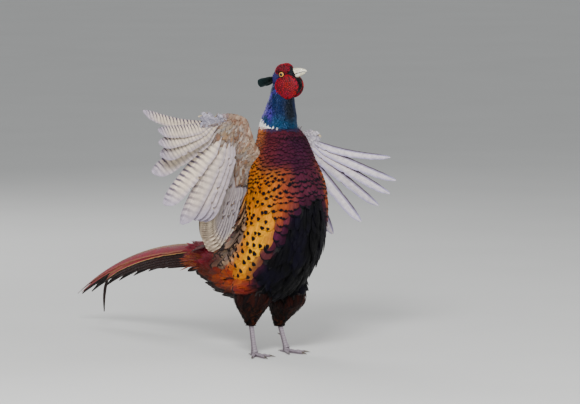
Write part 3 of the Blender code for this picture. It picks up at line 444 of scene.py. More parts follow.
def coat(surface, u, v, length, width, look, form=ROUND, across=FIVE, lift=1.2, sink=2.5, camber=0.10,
         swing=0.12, thick=0.35, seed=1, melt=0.0):
    """Closed leaves that lie along a surface from their roots, with their looks and bake patches.

    Roots sink under the surface and tips lift off it. Swing turns each leaf a little, and melt blends the
    look of its root with the look of the place that each of its points lies over.
    """
    rng = np.random.default_rng(seed)
    u, v = np.asarray(u, float), np.asarray(v, float)
    count = len(u)
    shares, widths = np.array(form, float).T
    step = 0.02 * max(float(np.ptp(u)), 1) / 10
    home = surface(u, v, np.zeros(count))
    per_u = np.linalg.norm(surface(u + step, v, np.zeros(count)) - home, axis=1) / step
    per_u = np.maximum(per_u, 0.4 * np.median(per_u))
    turn = rng.normal(0, swing, count)
    length = length * rng.normal(1, 0.07, count)
    width = width * rng.normal(1, 0.06, count)
    lift, sink, thick = (np.broadcast_to(x, count).astype(float) for x in (lift, sink, thick))
    lift = lift * rng.uniform(0.7, 1.3, count)
    x = 0.5 * width[:, None, None] * widths[None, :, None] * across[None, None, :]
    y = length[:, None, None] * shares[None, :, None] * np.ones_like(x)
    height = (-sink[:, None] + (lift + sink)[:, None] * shares**0.7)[:, :, None] * np.ones_like(x)
    height = height - camber * width[:, None, None] * widths[None, :, None] * across**2
    x = np.concatenate([x.reshape(count, -1), np.zeros((count, len(shares)))], axis=1)
    y = np.concatenate([y.reshape(count, -1), length[:, None] * shares], axis=1)
    low = height[:, :, len(across) // 2] - thick[:, None]
    height = np.concatenate([height.reshape(count, -1), low], axis=1)
    cos, sin = np.cos(turn)[:, None], np.sin(turn)[:, None]
    way = u[:, None] + length[:, None] * shares / per_u[:, None]
    near, far = (surface(way, v[:, None] + side, 0) for side in (-step, step))
    per_v = np.maximum(np.linalg.norm(far - near, axis=-1) / (2 * step), 1e-3)
    per_v = np.concatenate([np.repeat(per_v, len(across), axis=1), per_v], axis=1)
    du, dv = (y * cos - x * sin) / per_u[:, None], (x * cos + y * sin) / per_v
    points = surface(u[:, None] + du, v[:, None] + dv, height)
    a = np.concatenate([np.tile(across, len(shares)), np.zeros(len(shares))])
    t = np.concatenate([np.repeat(shares, len(across)), shares])
    chance = rng.uniform(0, 1, count)
    leaf = np.stack(np.broadcast_arrays(a[None], t[None], chance[:, None]), axis=-1)
    per = points.shape[1]
    made = dict(points=points, faces=leaf_faces(len(shares), len(across)), leaf=leaf,
                patch=np.stack([a * 0.5, t], axis=-1) * 0.003, home=np.column_stack([u, v]),
                **{key: np.repeat(value[:, None], per, axis=1) for key, value in look(u, v).items()})
    if melt:
        spread = look(u[:, None] + np.clip(du, -9, 9), v[:, None] + dv)
        made["tint"] = made["tint"] * (1 - melt) + spread["tint"] * melt
    return made


def rows_of(start, end, pitch, per_u, gap, seed=3, around=(-180, 180)):
    """Roots in staggered rows: pitch and per_u give the rows, gap the places in each."""
    rng = np.random.default_rng(seed)
    places, u, odd, (low, high) = [], start, 0, around
    while u < end:
        spread = gap(u)
        count = max(int((high - low) / spread), 1)
        v = low + (np.arange(count) + 0.25 + 0.5 * odd) * (high - low) / count
        jitter = rng.normal(0, 0.18, (2, count))
        places.append(np.column_stack([u + jitter[0] * pitch(u) / per_u(u), v + jitter[1] * spread]))
        u, odd = u + pitch(u) / per_u(u), 1 - odd
    return np.vstack(places)


# Meshes

def to_row(points):
    return np.asarray(points, float) * MM + SHIFT


def signed_volume(points, faces):
    middle = points.mean(0)
    total = 0.0
    for face in faces:
        for k in range(1, len(face) - 1):
            total += np.linalg.det(points[[face[0], face[k], face[k + 1]]] - middle)
    return total


def solid(name, items, material, replaces=(), atlas=None, sharp=50):
    """One piece of the scene from its items, each a run of equal closed shapes."""
    points, loops, sizes, uvs, at = [], [], [], [], 0
    extra = {"leaf": [], "pattern": [], "tint": [], "mark": []}
    for item in items:
        shapes = np.asarray(item["points"], float)
        count, per, _ = shapes.shape
        faces = item["faces"]
        if signed_volume(shapes[0], faces) < 0:
            faces = [face[::-1] for face in faces]
        flat = np.concatenate([np.array(face) for face in faces])
        loops.append((flat[None] + at + per * np.arange(count)[:, None]).ravel())
        sizes.append(np.tile([len(face) for face in faces], count))
        points.append(shapes.reshape(-1, 3))
        at += count * per
        for key, made in extra.items():
            value = item.get(key, np.zeros(3) if key in ("leaf", "pattern") else rgb("808080"))
            made.append(np.broadcast_to(value, (count, per, 3)).reshape(-1, 3))
        if atlas or "uv" in item:
            home = atlas(item["home"])[:, None] + item["patch"][None] if "home" in item else item["uv"]
            uvs.append(np.broadcast_to(home, (count, per, 2)).reshape(-1, 2))
    points, loops, sizes = to_row(np.vstack(points)), np.concatenate(loops), np.concatenate(sizes)
    mesh = bpy.data.meshes.new(name)
    mesh.vertices.add(len(points))
    mesh.vertices.foreach_set("co", points.ravel())
    mesh.loops.add(len(loops))
    mesh.loops.foreach_set("vertex_index", loops.astype(np.int32))
    mesh.polygons.add(len(sizes))
    mesh.polygons.foreach_set("loop_start", (np.cumsum(sizes) - sizes).astype(np.int32))
    mesh.update(calc_edges=True)
    for key, made in extra.items():
        made = np.vstack(made)
        if key in ("leaf", "pattern"):
            mesh.attributes.new(key, "FLOAT_VECTOR", "POINT").data.foreach_set("vector", made.ravel())
        else:
            colour = np.column_stack([made, np.ones(len(made))])
            mesh.attributes.new(key, "FLOAT_COLOR", "POINT").data.foreach_set("color", colour.ravel())
    if uvs:
        layer = mesh.uv_layers.new(name="OFBake")
        layer.data.foreach_set("uv", np.vstack(uvs)[loops].ravel().astype(np.float32))
    mesh.shade_smooth()
    if sharp:
        mesh.set_sharp_from_angle(angle=math.radians(sharp))
    return place(bpy.data.objects.new(name, mesh), material, replaces)


def place(piece, material, replaces=()):
    if piece.name not in bpy.context.scene.collection.objects:
        bpy.context.scene.collection.objects.link(piece)
    piece.data.materials.clear()
    piece.data.materials.append(material)
    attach(piece, "root")
    if replaces:
        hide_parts(*replaces)
    return piece


# Materials

class Paint:
    """A procedural material, put together node by node."""

    def __init__(self, name, **fixed):
        self.material = bpy.data.materials.new(name)
        self.material.use_nodes = True
        self.tree = self.material.node_tree
        self.shader = self.tree.nodes["Principled BSDF"]
        for key, value in fixed.items():
            self.shader.inputs[key.replace("_", " ")].default_value = value

    def feed(self, socket, value):
        if isinstance(value, bpy.types.NodeSocket):
            self.tree.links.new(value, socket)
        elif value is not None:
            socket.default_value = (*rgb(value), 1) if isinstance(value, str) else value

    def put(self, kind, inputs, output=0, **settings):
        node = self.tree.nodes.new("ShaderNode" + kind)
        for key, value in settings.items():
            setattr(node, key, value)
        for key, value in inputs.items():
            self.feed(node.inputs[key], value)
        return node.outputs[output]

    def math(self, operation, a, b=None, c=None):
        return self.put("Math", {0: a, 1: b, 2: c}, operation=operation)

    plus = partialmethod(math, "ADD")
    minus = partialmethod(math, "SUBTRACT")
    times = partialmethod(math, "MULTIPLY")
    over = partialmethod(math, "DIVIDE")
    most = partialmethod(math, "MAXIMUM")
    above = partialmethod(math, "GREATER_THAN")

    def sine(self, turns):
        return self.math("SINE", self.times(turns, 6.2832))

    def span(self, value, low, high, to_low, to_high, **settings):
        return self.put("MapRange", {0: value, 1: low, 2: high, 3: to_low, 4: to_high}, **settings)

    def step(self, value, low, high):
        return self.span(value, low, high, 0.0, 1.0, interpolation_type="SMOOTHSTEP")

    def vary(self, noise, to_low, to_high):
        """The usual range of a noise, turned into the range given."""
        return self.span(noise, 0.3, 0.7, to_low, to_high)

    def mix(self, factor, a, b):
        return self.put("Mix", {0: factor, 6: a, 7: b}, output=2, data_type="RGBA")

    def read(self, name, output=0):
        return self.put("Attribute", {}, output=output, attribute_name=name)

    def parts(self, vector):
        node = self.tree.nodes.new("ShaderNodeSeparateXYZ")
        self.feed(node.inputs[0], vector)
        return node.outputs[:3]

    def grain(self, scale, detail=3.0, distortion=0.0):
        inputs = {"Vector": self.put("TexCoord", {}, output=3), "Scale": scale, "Detail": detail,
                  "Distortion": distortion}
        return self.put("TexNoise", inputs)

    def shade(self, colour, value, hue=0.5):
        return self.put("HueSaturation", {"Hue": hue, "Saturation": 1.0, "Value": value, "Color": colour})

    def finish(self, colour, height=None, rough=None, strength=0.5, distance=0.0004):
        self.feed(self.shader.inputs["Base Color"], colour)
        if rough is not None:
            self.feed(self.shader.inputs["Roughness"], rough)
        if height is not None:
            bump = self.put("Bump", {"Strength": strength, "Distance": distance, "Height": height})
            self.feed(self.shader.inputs["Normal"], bump)
        return self.material


def grained(name, grain, strength, distance, swing=0.0, tones=None, leaf_tone=None, rough=None, hue=None, **fixed):
    """A bare part's paint: a fine grain that the tint, or two tones, the bump and the gloss follow."""
    p = Paint(name, **fixed)
    fuzz = p.grain(*grain)
    if tones:
        low, high, *ends = tones
        colour = p.mix(p.step(fuzz, low, high), *ends)
    else:
        hue = p.vary(p.grain(60.0), *hue) if hue else 0.5
        colour = p.shade(p.read("tint"), p.vary(fuzz, 1 - swing, 1 + swing), hue)
    # A third tone, mixed in by the leaf attribute's third value; on the bill it makes the horn darker towards
    # its bottom.
    if leaf_tone:
        colour = p.mix(p.read("leaf", 2), colour, leaf_tone)
    return p.finish(colour, fuzz, rough and p.vary(fuzz, *rough), strength, distance)


def feather_paint(name, specular=0.2, metallic=0.0, barbs=60.0, slant=10.0, shaft=0.35, contrast=0.10,
                  rough=(0.45, 0.65), edges=(0.35, 0.95)):
    """Barbs, shaft, dark tip, tip spot and bars over the tints that each feather carries."""
    p = Paint(name, Specular_IOR_Level=specular, Metallic=metallic)
    a, t, chance = p.parts(p.read("leaf", 1))
    fringe, spot, bars = p.parts(p.read("pattern", 1))
    side = p.math("ABSOLUTE", a)
    cube = p.times(p.math("POWER", side, 3.0), p.times(t, 0.24))
    tip = p.step(p.plus(p.plus(t, cube), p.times(fringe, 0.85)), 0.985, 1.015)
    tip = p.times(tip, p.above(fringe, 0.001))
    reach_x = p.over(side, p.most(spot, 0.01))
    reach_y = p.over(p.minus(t, 0.9), p.most(p.times(spot, 0.26), 0.003))
    far = p.plus(p.times(reach_x, reach_x), p.times(reach_y, reach_y))
    dot = p.minus(1.0, p.step(far, 0.75, 1.25))
    wave = p.minus(p.times(bars, t), p.times(a, 0.35))
    wave = p.sine(p.plus(wave, p.times(p.grain(90.0, 2.0), 0.5)))
    band = p.times(p.step(wave, *edges), p.above(bars, 0.5))
    marked = p.most(p.most(tip, dot), band)
    barb = p.minus(p.times(t, barbs), p.times(side, slant))
    barb = p.sine(p.plus(barb, p.times(p.grain(260.0, 1.0), 0.8)))
    rachis = p.minus(1.0, p.step(side, 0.03, 0.09))
    cloud = p.grain(130.0, 4.0)
    value = p.plus(p.span(cloud, 0.25, 0.75, 0.78, 1.2), p.times(barb, contrast))
    value = p.times(value, p.span(chance, 0.0, 1.0, 0.86, 1.14))
    value = p.plus(value, p.times(rachis, shaft))
    colour = p.mix(marked, p.read("tint"), p.read("mark"))
    colour = p.shade(colour, value, p.span(p.grain(40.0, 2.0), 0.2, 0.8, 0.49, 0.51))
    return p.finish(colour, p.plus(p.times(barb, 0.35), p.times(rachis, 1.2)), p.vary(cloud, *rough))


# Looks: colours and marks by place on the bird

NIGHT, WHITE = rgb("010103"), rgb("f4f2ee")
# How far round from the belly, at stations of the body, the black patch and the golden flank reach
PATCH_EDGE = ((7.0, 7.2, 7.7, 8.2, 8.7, 9.2, 9.7, 10.3, 11.0, 12.0),
              (-6, 22, 36, 48, 54, 58, 56, 44, 46, 60))
GOLD_FRONT = ((5.5, 6.0, 7.3, 8.0, 9.2, 10.1, 11), (84, 78, 68, 60, 61, 57, 57))
GOLD_BACK = ((5.5, 7.3, 7.8, 9.2, 9.8, 11), (126, 118, 108, 101, 92, 84))


def ringed(s, w):
    """Where the white collar lies: open at the front, a thin strip beside the opening, broad behind."""
    broad = ramp(s - 0.3 * fade(w, 50, 120), 3.36, 3.40) * ramp(w, 55, 60)
    strip = ramp(s, 3.615, 3.625) * fade(s, 3.66, 3.67) * ramp(w, 38, 41)
    return np.maximum(broad * fade(s - 0.04 * ramp(w, 70, 120), 3.69, 3.70), strip)


def body_look(s, v):
    """Tints and marks of the body's feathers."""
    w, spots = np.abs(v), body_at(s, v, 0)
    cloud, fine = grain(spots, 30.0), grain(spots, 11.0, 9.0)
    front, back, rim = (np.interp(s, *edge) for edge in (GOLD_FRONT, GOLD_BACK, PATCH_EDGE))
    # Where each part lies
    gold = ramp(w, front - 12, front + 8) * ramp(s + 0.2 * cloud, 5.6, 6.9) * fade(s, 10.0, 10.9)
    gold = gold * fade(w, back, back + 8)
    chest = ramp(s, 4.8, 6.0) * fade(s, 7.2, 8.4) * fade(gold, 0.5, 0.7) * (0.4 + 0.6 * ramp(w, 20, 45))
    strip = ramp(w, back - 2, back + 4) * fade(w, 128, 134) * ramp(s, 6.8, 7.6) * fade(s, 11.0, 11.5)
    over, rump, dark = ramp(w, 124, 136), ramp(s, 11.2, 12.0), fade(w + 5 * fine, rim - 7, rim + 3)
    neck = fade(s + 0.05 * fine, 3.80, 3.86)
    # What each part's feathers look like
    copper = blend("4c1a2c", blend("9c4a18", "c47418", ramp(w, 40, 90)), ramp(w + 8 * cloud, 18, 52))
    yellow = layers("b46400", ("eea400", ramp(s, 6.4, 8.6)), ("d08008", ramp(w, front + 24, back)))
    ember = layers("8a2a08", ("c4560c", toss(s, v, 2.0) ** 2), ("4a1410", ramp(s + 0.5 * cloud, 10.5, 11.8)))
    mantle = layers("a85c20", ("5a2c1c", ramp(s, 4.6, 8.5)), ("5c101a", ramp(s + 0.4 * cloud, 8.2, 9.8)))
    crimson = blend("5c200e", blend("6e0c1c", "9c1c34", toss(s, v, 4.0)), ramp(w, 74, 96))
    night = layers(NIGHT, ("0a0618", ramp(cloud, -0.2, 0.8)), ("1c0c08", ramp(s, 10.6, 11.6)))
    violet = ramp(w + 25 * cloud, 50, 105) * fade(s, 3.2, 3.6) * ramp(fine, -0.5, 0.3)
    blue = layers("08204a", ("063a5e", ramp(s + 0.25 * cloud, 2.4, 3.5)), ("46349a", 0.85 * violet),
                  ("04101e", fade(w + 14 * cloud, 8, 42) * (1 - 0.6 * ramp(s, 2.6, 3.6))),
                  (WHITE, ringed(s, w)))
    tint = layers(
        "521c26",
        ("b85f18", ramp(w + 10 * cloud, 70, 118)),
        ("340e28", ramp(s, 3.6, 4.8) * fade(w + 14 * cloud, 14, 56)),
        (copper, ramp(s + 0.3 * cloud, 5.2, 6.5)),
        ("b05410", ramp(s, 5.6, 6.6) * ramp(v, 22, 44) * fade(v, 60, 75)),
        (yellow, gold),
        ("984208", 0.65 * gold * toss(s, v) ** 1.5),
        ("44142e", ramp(s, 6.4, 7.2) * fade(w + 4 * fine, rim + 3, rim + 17) * (w < 100)),
        (ember, ramp(s + 0.25 * fine, 9.7, 10.5) * ramp(w, 30, 50)),
        (blend("6f5b50", "c39c74", ramp(fine, 0.0, 0.7)), strip),
        (mantle, over),
        (blend("200c0a", crimson, ramp(w, 36, 66)), rump),
        (night, dark),
        (blue, neck),
    )
    fringe = (0.07 + 0.13 * ramp(s + w / 50, 4.8, 7.6)) * fade(s, 10.0, 11.0) * (1 + 0.2 * fine)
    fringe = np.maximum(fringe * fade(gold, 0.35, 0.7) * (1 - 0.5 * chest), 0.16 * strip)
    fringe = fringe * (1 - over) + 0.3 * over * fade(s, 7.5, 9.5)
    bare = (1 - dark) * (1 - neck)
    chance = toss(s, v, 6.0)
    spot = (0.44 + 0.16 * chance) * (gold > 0.55) * fade(s, 9.8, 10.5)
    spot = np.maximum(spot, (0.38 + 0.2 * chance) * chest) * (1 - strip) * (1 - over) * bare
    mark = layers("08050a", ("080812", ramp(s, 4, 7)), ("2a1810", np.maximum(strip, over)))
    pattern = np.stack([fringe * bare * (1 - rump), spot, np.zeros_like(spot)], axis=-1)
    return dict(tint=tint, mark=mark, pattern=pattern)


def plain(tint):
    """A look without tips, spots or bars."""
    return dict(tint=tint, mark=tint * 0.3, pattern=np.zeros_like(tint))


def head_look(u, v):
    """Tints of the small feathers of the head: black throat and forehead, bronze green crown."""
    w, cloud = np.abs(v), grain(head_at(u, v, 0), 12.0, 4.0)
    crown = blend("1d2a22", "3a3a26", ramp(cloud, -0.3, 0.6))
    nape = blend("061c34", "241c5c", ramp(cloud, 0, 0.7))
    return plain(layers("060a14", (crown, ramp(w, 128, 150) * ramp(u, 1.6, 2.6)),
                        (nape, ramp(u, 4.2, 5.8) * ramp(w, 45, 90))))


def thigh_look(u, v):
    cloud = np.sin(u * 9.0 + v * 0.13) * 0.5 + np.cos(v * 0.31 - u * 4.0) * 0.5
    low = blend("060404", "3a1a0c", toss(u, v) ** 3 + 0.2 * ramp(cloud, 0.2, 1.2))
    return plain(layers("0a0406", ("341008", toss(u, v, 5.0) ** 2), (low, ramp(u + 0.5 * cloud, 0.8, 2.6))))


LINING = np.array([rgb(code) for code in ("805c44", "a08a70", "8a7e78", "746e6c", "beb2a8")])


def under_look(u, v, side):
    """The wing's lining: feathers of mixed browns and greys, rufous at the edge, blue grey on the hand."""
    chance, second = toss(u, v), toss(u, v, 5.0)
    zone = 0.5 + 0.5 * np.sin(v * 1.1 + 0.09 * u) * np.cos(0.13 * u - 0.5 * v)
    edge, hand = fade(u + 5 * second, 6, 14), fade(v + 2 * second, 2.6, 5.0)
    tint = layers(
        LINING[np.minimum((chance * 5).astype(int), 4)],
        (blend("8c6648", "8a8480", zone), 0.35 + 0.3 * second),
        (blend("7e5a48", "ae947e", chance), edge * 0.8),
        (blend("8e8a9a", "b8b2be", chance), hand),
        (blend("a9a3b2", "d6cfd2", chance), (0.35 + 0.45 * hand) * (side > 0)),
    )
    fringe, spot = 0.1 * (second > 0.7) * (1 - hand) * (side < 0), 0.4 * edge * (second > 0.3) * (side < 0)
    mark = blend(tint * 0.45, tint * 0.72, np.maximum(hand, float(side > 0)))
    return dict(tint=tint, mark=mark, pattern=np.stack([fringe, spot, 3.0 * (hand > 0.5)], axis=-1))


def upper_look(u, v, side):
    """The wing's back, alike on both sides: grey brown coverts edged with buff, chestnut to the shoulder."""
    cloud = np.sin(v * 1.7 + u * 0.09) * np.cos(v * 0.7 - u * 0.05)
    tint = layers("8a7a66", ("a89c8c", ramp(cloud, -0.5, 0.7)),
                  ("8c4a2a", ramp(v + 2 * cloud, 13, 19) * 0.8), ("6a5a4c", fade(v, 1, 6)))
    return dict(tint=tint, mark=np.broadcast_to(rgb("c9b79a"), tint.shape),
                pattern=np.broadcast_to((0.2, 0.0, 2.0), tint.shape))


# The skin

def mesh_of(a, b):
    return (grid.ravel() for grid in np.meshgrid(a, b))


def skin_tints(spots):
    """Colours of the skin's points, from the nearest place on each shape's surface."""
    s, v = mesh_of(np.linspace(0.4, 13.9, 110), np.arange(-180, 180, 7.5))
    samples = [(body_at(s, v, -4), body_look(s, v)["tint"] * 0.6)]
    u, v = mesh_of(np.linspace(0.2, 7.8, 24), np.arange(-180, 180, 15.0))
    samples.append((head_at(u, v, -2), head_look(u, v)["tint"] * 0.8))
    for side in SIDES:
        u, v = mesh_of(np.linspace(1.5, 5.9, 16), np.arange(-180, 180, 24.0))
        samples.append((thigh_at(side)(u, v, -3), thigh_look(u, v)["tint"] * 0.6))
        n, d = mesh_of(np.linspace(0, 22, 45), np.linspace(0, 60, 12))
        for face, look in ((-1, under_look), (1, upper_look)):
            samples.append((wing_sheet(side, face)(d, n, -1), look(d, n, side)["tint"] * 0.8))
    places, tints = (np.vstack(column) for column in zip(*samples))
    tree = kdtree.KDTree(len(places))
    for i, p in enumerate(places):
        tree.insert(Vector(p), i)
    tree.balance()
    return tints[[tree.find(Vector(p))[1] for p in spots]]


def board_rings(side, shrink=0.8, count=16):
    """The wing's fleshy board, a little thinner than its coverts."""
    profile = ((0.04, 0), (0.1, 0.42), (0.38, 0.5), (0.78, 0.28), (0.97, 0.08), (0.97, -0.08), (0.78, -0.26),
               (0.38, -0.36), (0.1, -0.3))
    rows = np.array([(*lead, *trail, thick) for lead, trail, thick in BOARDS[side]], float)
    rows = through(rows, np.linspace(0, len(rows) - 1, count))
    chords = rows[:, 3:6] - rows[:, :3]
    spans = np.gradient(rows[:, :3] + chords / 2, axis=0)
    rings, last = [], np.array(BACKS[side][0], float)
    for row, chord, span in zip(rows, chords, spans):
        out = unit(np.cross(span, chord))
        out = out if out @ last > 0 else -out
        last = out
        rings.append([row[:3] + chord * share + out * height * row[6] * shrink for share, height in profile])
    return rings


def surface_rings(surface, u, sides, h):
    turns = np.arange(sides) * 360.0 / sides
    return surface(np.asarray(u, float)[:, None], turns[None, :], h)


def make_skin():
    shapes = [
        tube(surface_rings(body_at, np.linspace(0.1, 13.9, 70), 48, -4.5)),
        tube(surface_rings(head_at, np.linspace(0.05, 7.95, 26), 32, -1.0)),
        tube(surface_rings(throat_at, np.linspace(4, 176, 24), 32, -1.0)),
    ]
    for side in SIDES:
        shapes.append(tube(surface_rings(thigh_at(side), np.linspace(0, 5.9, 22), 24, -3.0)))
        shapes.append(tube(board_rings(side)))
    paint = grained("skin_paint", (420.0, 5.0), 0.6, 0.001, 0.3, rough=(0.6, 0.9))
    skin = solid("skin", shapes, paint,
                 ("torso", "neck", "head", "thigh_left", "thigh_right"), sharp=0)
    remesh = skin.modifiers.new("whole", "REMESH")
    remesh.mode, remesh.voxel_size = "VOXEL", 2.6 * MM
    soft = skin.modifiers.new("soft", "SMOOTH")
    soft.factor, soft.iterations = 0.5, 6
    graph = bpy.context.evaluated_depsgraph_get()
    made = bpy.data.meshes.new_from_object(skin.evaluated_get(graph))
    skin.modifiers.clear()
    old, skin.data = skin.data, made
    bpy.data.meshes.remove(old)
    made.name = "skin"
    spots = np.zeros(len(made.vertices) * 3)
    made.vertices.foreach_get("co", spots)
    spots = (spots.reshape(-1, 3) - SHIFT) / MM
    tint = made.attributes.get("tint") or made.attributes.new("tint", "FLOAT_COLOR", "POINT")
    tint.data.foreach_set("color", np.column_stack([skin_tints(spots), np.ones(len(spots))]).ravel())
    made.shade_smooth()
    made.materials.clear()
    made.materials.append(paint)
    return skin


# The coat

def map_of(low_v, span_v, low_u, span_u, share=0.9, edge=0.04):
    """Places on the bake's map for roots at (u, v), spread over a share of it."""
    def places(home):
        v, u = (home[:, 1] - low_v) / span_v, (home[:, 0] - low_u) / span_u
        return np.column_stack([v * share + edge, u * share + edge])
    return places


BODY_MAP = map_of(-180, 360, 0, 14, 0.96, 0.02)
WING_MAP = map_of(-1, 25, 0, 135, 0.94, 0.02)


# Millimetres between rows of feathers, at stations of the body
PITCH = ((0, 3, 3.9, 4.5, 5.5, 6.5, 7.5, 9, 11, 14), (3.4, 3.8, 4.3, 4.8, 6.2, 8.2, 10, 11.5, 10.5, 9))


def body_roots(start, end, low, high, scale=1.0, wide=1.15, seed=3):
    """Roots on the body between two stations and two angles."""
    def pitch(s):
        return scale * float(np.interp(s, *PITCH))

    def per_u(s):
        here, near = body_at(np.array([s, s + 0.02]), 90.0, 0)
        return max(np.linalg.norm(near - here) / 0.02, 8)

    def gap(s):
        belly, back = body_at(s, np.array([0.0, 180.0]), 0)
        return 360 * pitch(s) * wide / (math.pi * np.linalg.norm(belly - back) * 0.97)
    return rows_of(start, end, pitch, per_u, gap, seed, (low, high))


def golden(s, v):
    """Where the flank's large golden feathers lie."""
    w = np.abs(v)
    return (w > np.interp(s, *GOLD_FRONT) - 8) & (w < np.interp(s, *GOLD_BACK) + 4) & (s > 6.5) & (s < 10.6)


def make_body_coat():
    paint = feather_paint("body_plumage", 0.09)
    small = body_roots(3.62, 13.2, -180, 180)
    large = body_roots(6.45, 10.7, -180, 180, 1.3, 1.1, 4)
    small = small[~golden(*small.T) & ((np.abs(small[:, 1]) < 90) | (small[:, 0] < 12.4))]
    s, v = small.T
    w, rim = np.abs(v), np.interp(s, *PATCH_EDGE)
    hairy = (w < rim - 4) | (s > 10.3) | ((w > 126) & (s > 8.8))
    vent = body_roots(11.0, 13.4, -95, 95, 1.2, 1.2, 6)
    shawl = body_roots(6.6, 9.6, 118, 242, 1.1, 1.1, 8)
    items = {"breast": [], "rear": []}
    for part, roots, form, long, wide, lift in (
        ("breast", small[~hairy & (s < 7.0)], ROUND, 2.5, 1.75, 0.3),
        ("rear", small[~hairy & (s >= 7.0)], ROUND, 2.4, 1.7, 1.0),
        ("rear", large[golden(*large.T)], ROUND, 3.1, 2.2, 1.6),
        ("rear", small[hairy], LONG, 3.6, 1.25, 2.0),
        ("rear", vent, LONG, 4.2, 1.2, 6.0),
        ("rear", shawl, LONG, 5.0, 1.25, 11.0),
    ):
        s, v = roots.T
        pitch = np.interp(s, *PITCH)
        v = (v + 180) % 360 - 180
        items[part].append(coat(flank_at if part == "rear" else body_at, s, v, pitch * long, pitch * wide,
                                body_look, form, lift=0.08 * pitch + lift, sink=3.0,
                                swing=0.16 if form is LONG else 0.07, seed=int(10 * long), melt=0.5))
    for part, made in items.items():
        solid("coat_" + part, made, paint, atlas=BODY_MAP)


def make_neck_coat():
    """Dark feathers with a gloss, and smaller white ones where the collar lies."""
    gloss = feather_paint("neck_plumage", 0.25, 0.35, rough=(0.3, 0.5), contrast=0.14, shaft=0.15)
    white = feather_paint("collar_plumage", contrast=0.08, shaft=0.1)
    s, v = body_roots(0.15, 3.66, -180, 180, wide=1.1).T
    inside = np.linalg.norm((body_at(s, v, 0) - HEAD_CENTRE) / (16, 20, 20), axis=1) < 1
    dark = ~inside & (ringed(s, np.abs(v)) < 0.5)
    a, b = body_roots(3.3, 3.74, -180, 180, 0.6, seed=9).T
    ring = ringed(a, np.abs(b)) > 0.5
    small = np.interp(a, *PITCH) * np.where(np.abs(b) < 56, 0.42, 0.7)
    for name, paint, u, w, size in (("coat_neck", gloss, s[dark], v[dark], np.interp(s[dark], *PITCH)),
                                    ("coat_collar", white, a[ring], b[ring], small[ring])):
        item = coat(body_at, u, w, size * 2.3, size * 1.45, body_look, SMALL, THREE, lift=0.7, sink=2.2,
                    swing=0.12, camber=0.12, thick=0.25)
        solid(name, [item], paint, atlas=BODY_MAP)


def make_head_coat():
    paint = feather_paint("head_plumage", 0.25, 0.2, rough=(0.35, 0.55), contrast=0.14, shaft=0.1)

    def small(surface, u, v, length, width, look, seed=1):
        return coat(surface, u, v, np.full(len(u), length), np.full(len(u), width), look, SMALL, THREE,
                    lift=0.5, sink=1.2, camber=0.12, thick=0.2, swing=0.15, seed=seed)

    def gap(u):
        radius = max(17.5 * math.sin(math.pi * min(u + 0.7, 8.4) / 9.2), 4)
        return 360 * 2.5 / (2 * math.pi * radius)

    u, v = rows_of(0.7, 7.9, lambda u: 2.3, lambda u: 6.6 if u < 4 else 8.0, gap).T
    own, bare = head_own(u, v, 0), np.zeros(len(u), bool)
    for ahead, up, long, tall, *_ in LOBES:
        near = ((own[:, 1] - ahead) / (long - 0.8)) ** 2 + ((own[:, 2] - up) / (tall - 0.8)) ** 2
        bare |= (near < 1) & (np.abs(own[:, 0]) > 5.5)
    crown = small(head_at, u[~bare], v[~bare], 5.6, 3.4, head_look)
    u, v = rows_of(8, 120, lambda u: 2.4, lambda u: 0.33,
                   lambda u: 360 * 2.6 / (2 * math.pi * 15 * math.sin(math.radians(u))), 8).T
    none = np.zeros((len(u), 3))
    black = dict(tint=none + rgb("020308"), mark=none, pattern=none)
    throat = small(throat_at, u, v, 5.8, 3.6, lambda u, v: black, 5)
    throat["home"] = throat["home"] * (0.02, 0.5)
    solid("coat_head", [crown, throat], paint, atlas=map_of(-180, 360, 0, 8))


def make_thigh_coat():
    paint = feather_paint("thigh_plumage", 0.08, contrast=0.2)
    u, v = rows_of(1.2, 5.8, lambda u: 5.2, lambda u: 17.0,
                   lambda u: 360 * 5.0 / (2 * math.pi * np.interp(u, [0, 2.5, 4, 6], [39, 34, 14, 8])), 5).T
    long, wide = np.interp(u, [0, 3, 6], [36, 24, 14]), np.interp(u, [0, 6], [8, 4.5])
    items = [coat(thigh_at(side), u, v, long, wide, thigh_look, LONG, THREE, lift=3.0, sink=3, swing=0.3,
                  seed=11 + side) for side in SIDES]
    solid("coat_thighs", items, paint, atlas=map_of(-180, 360, 0, 6))


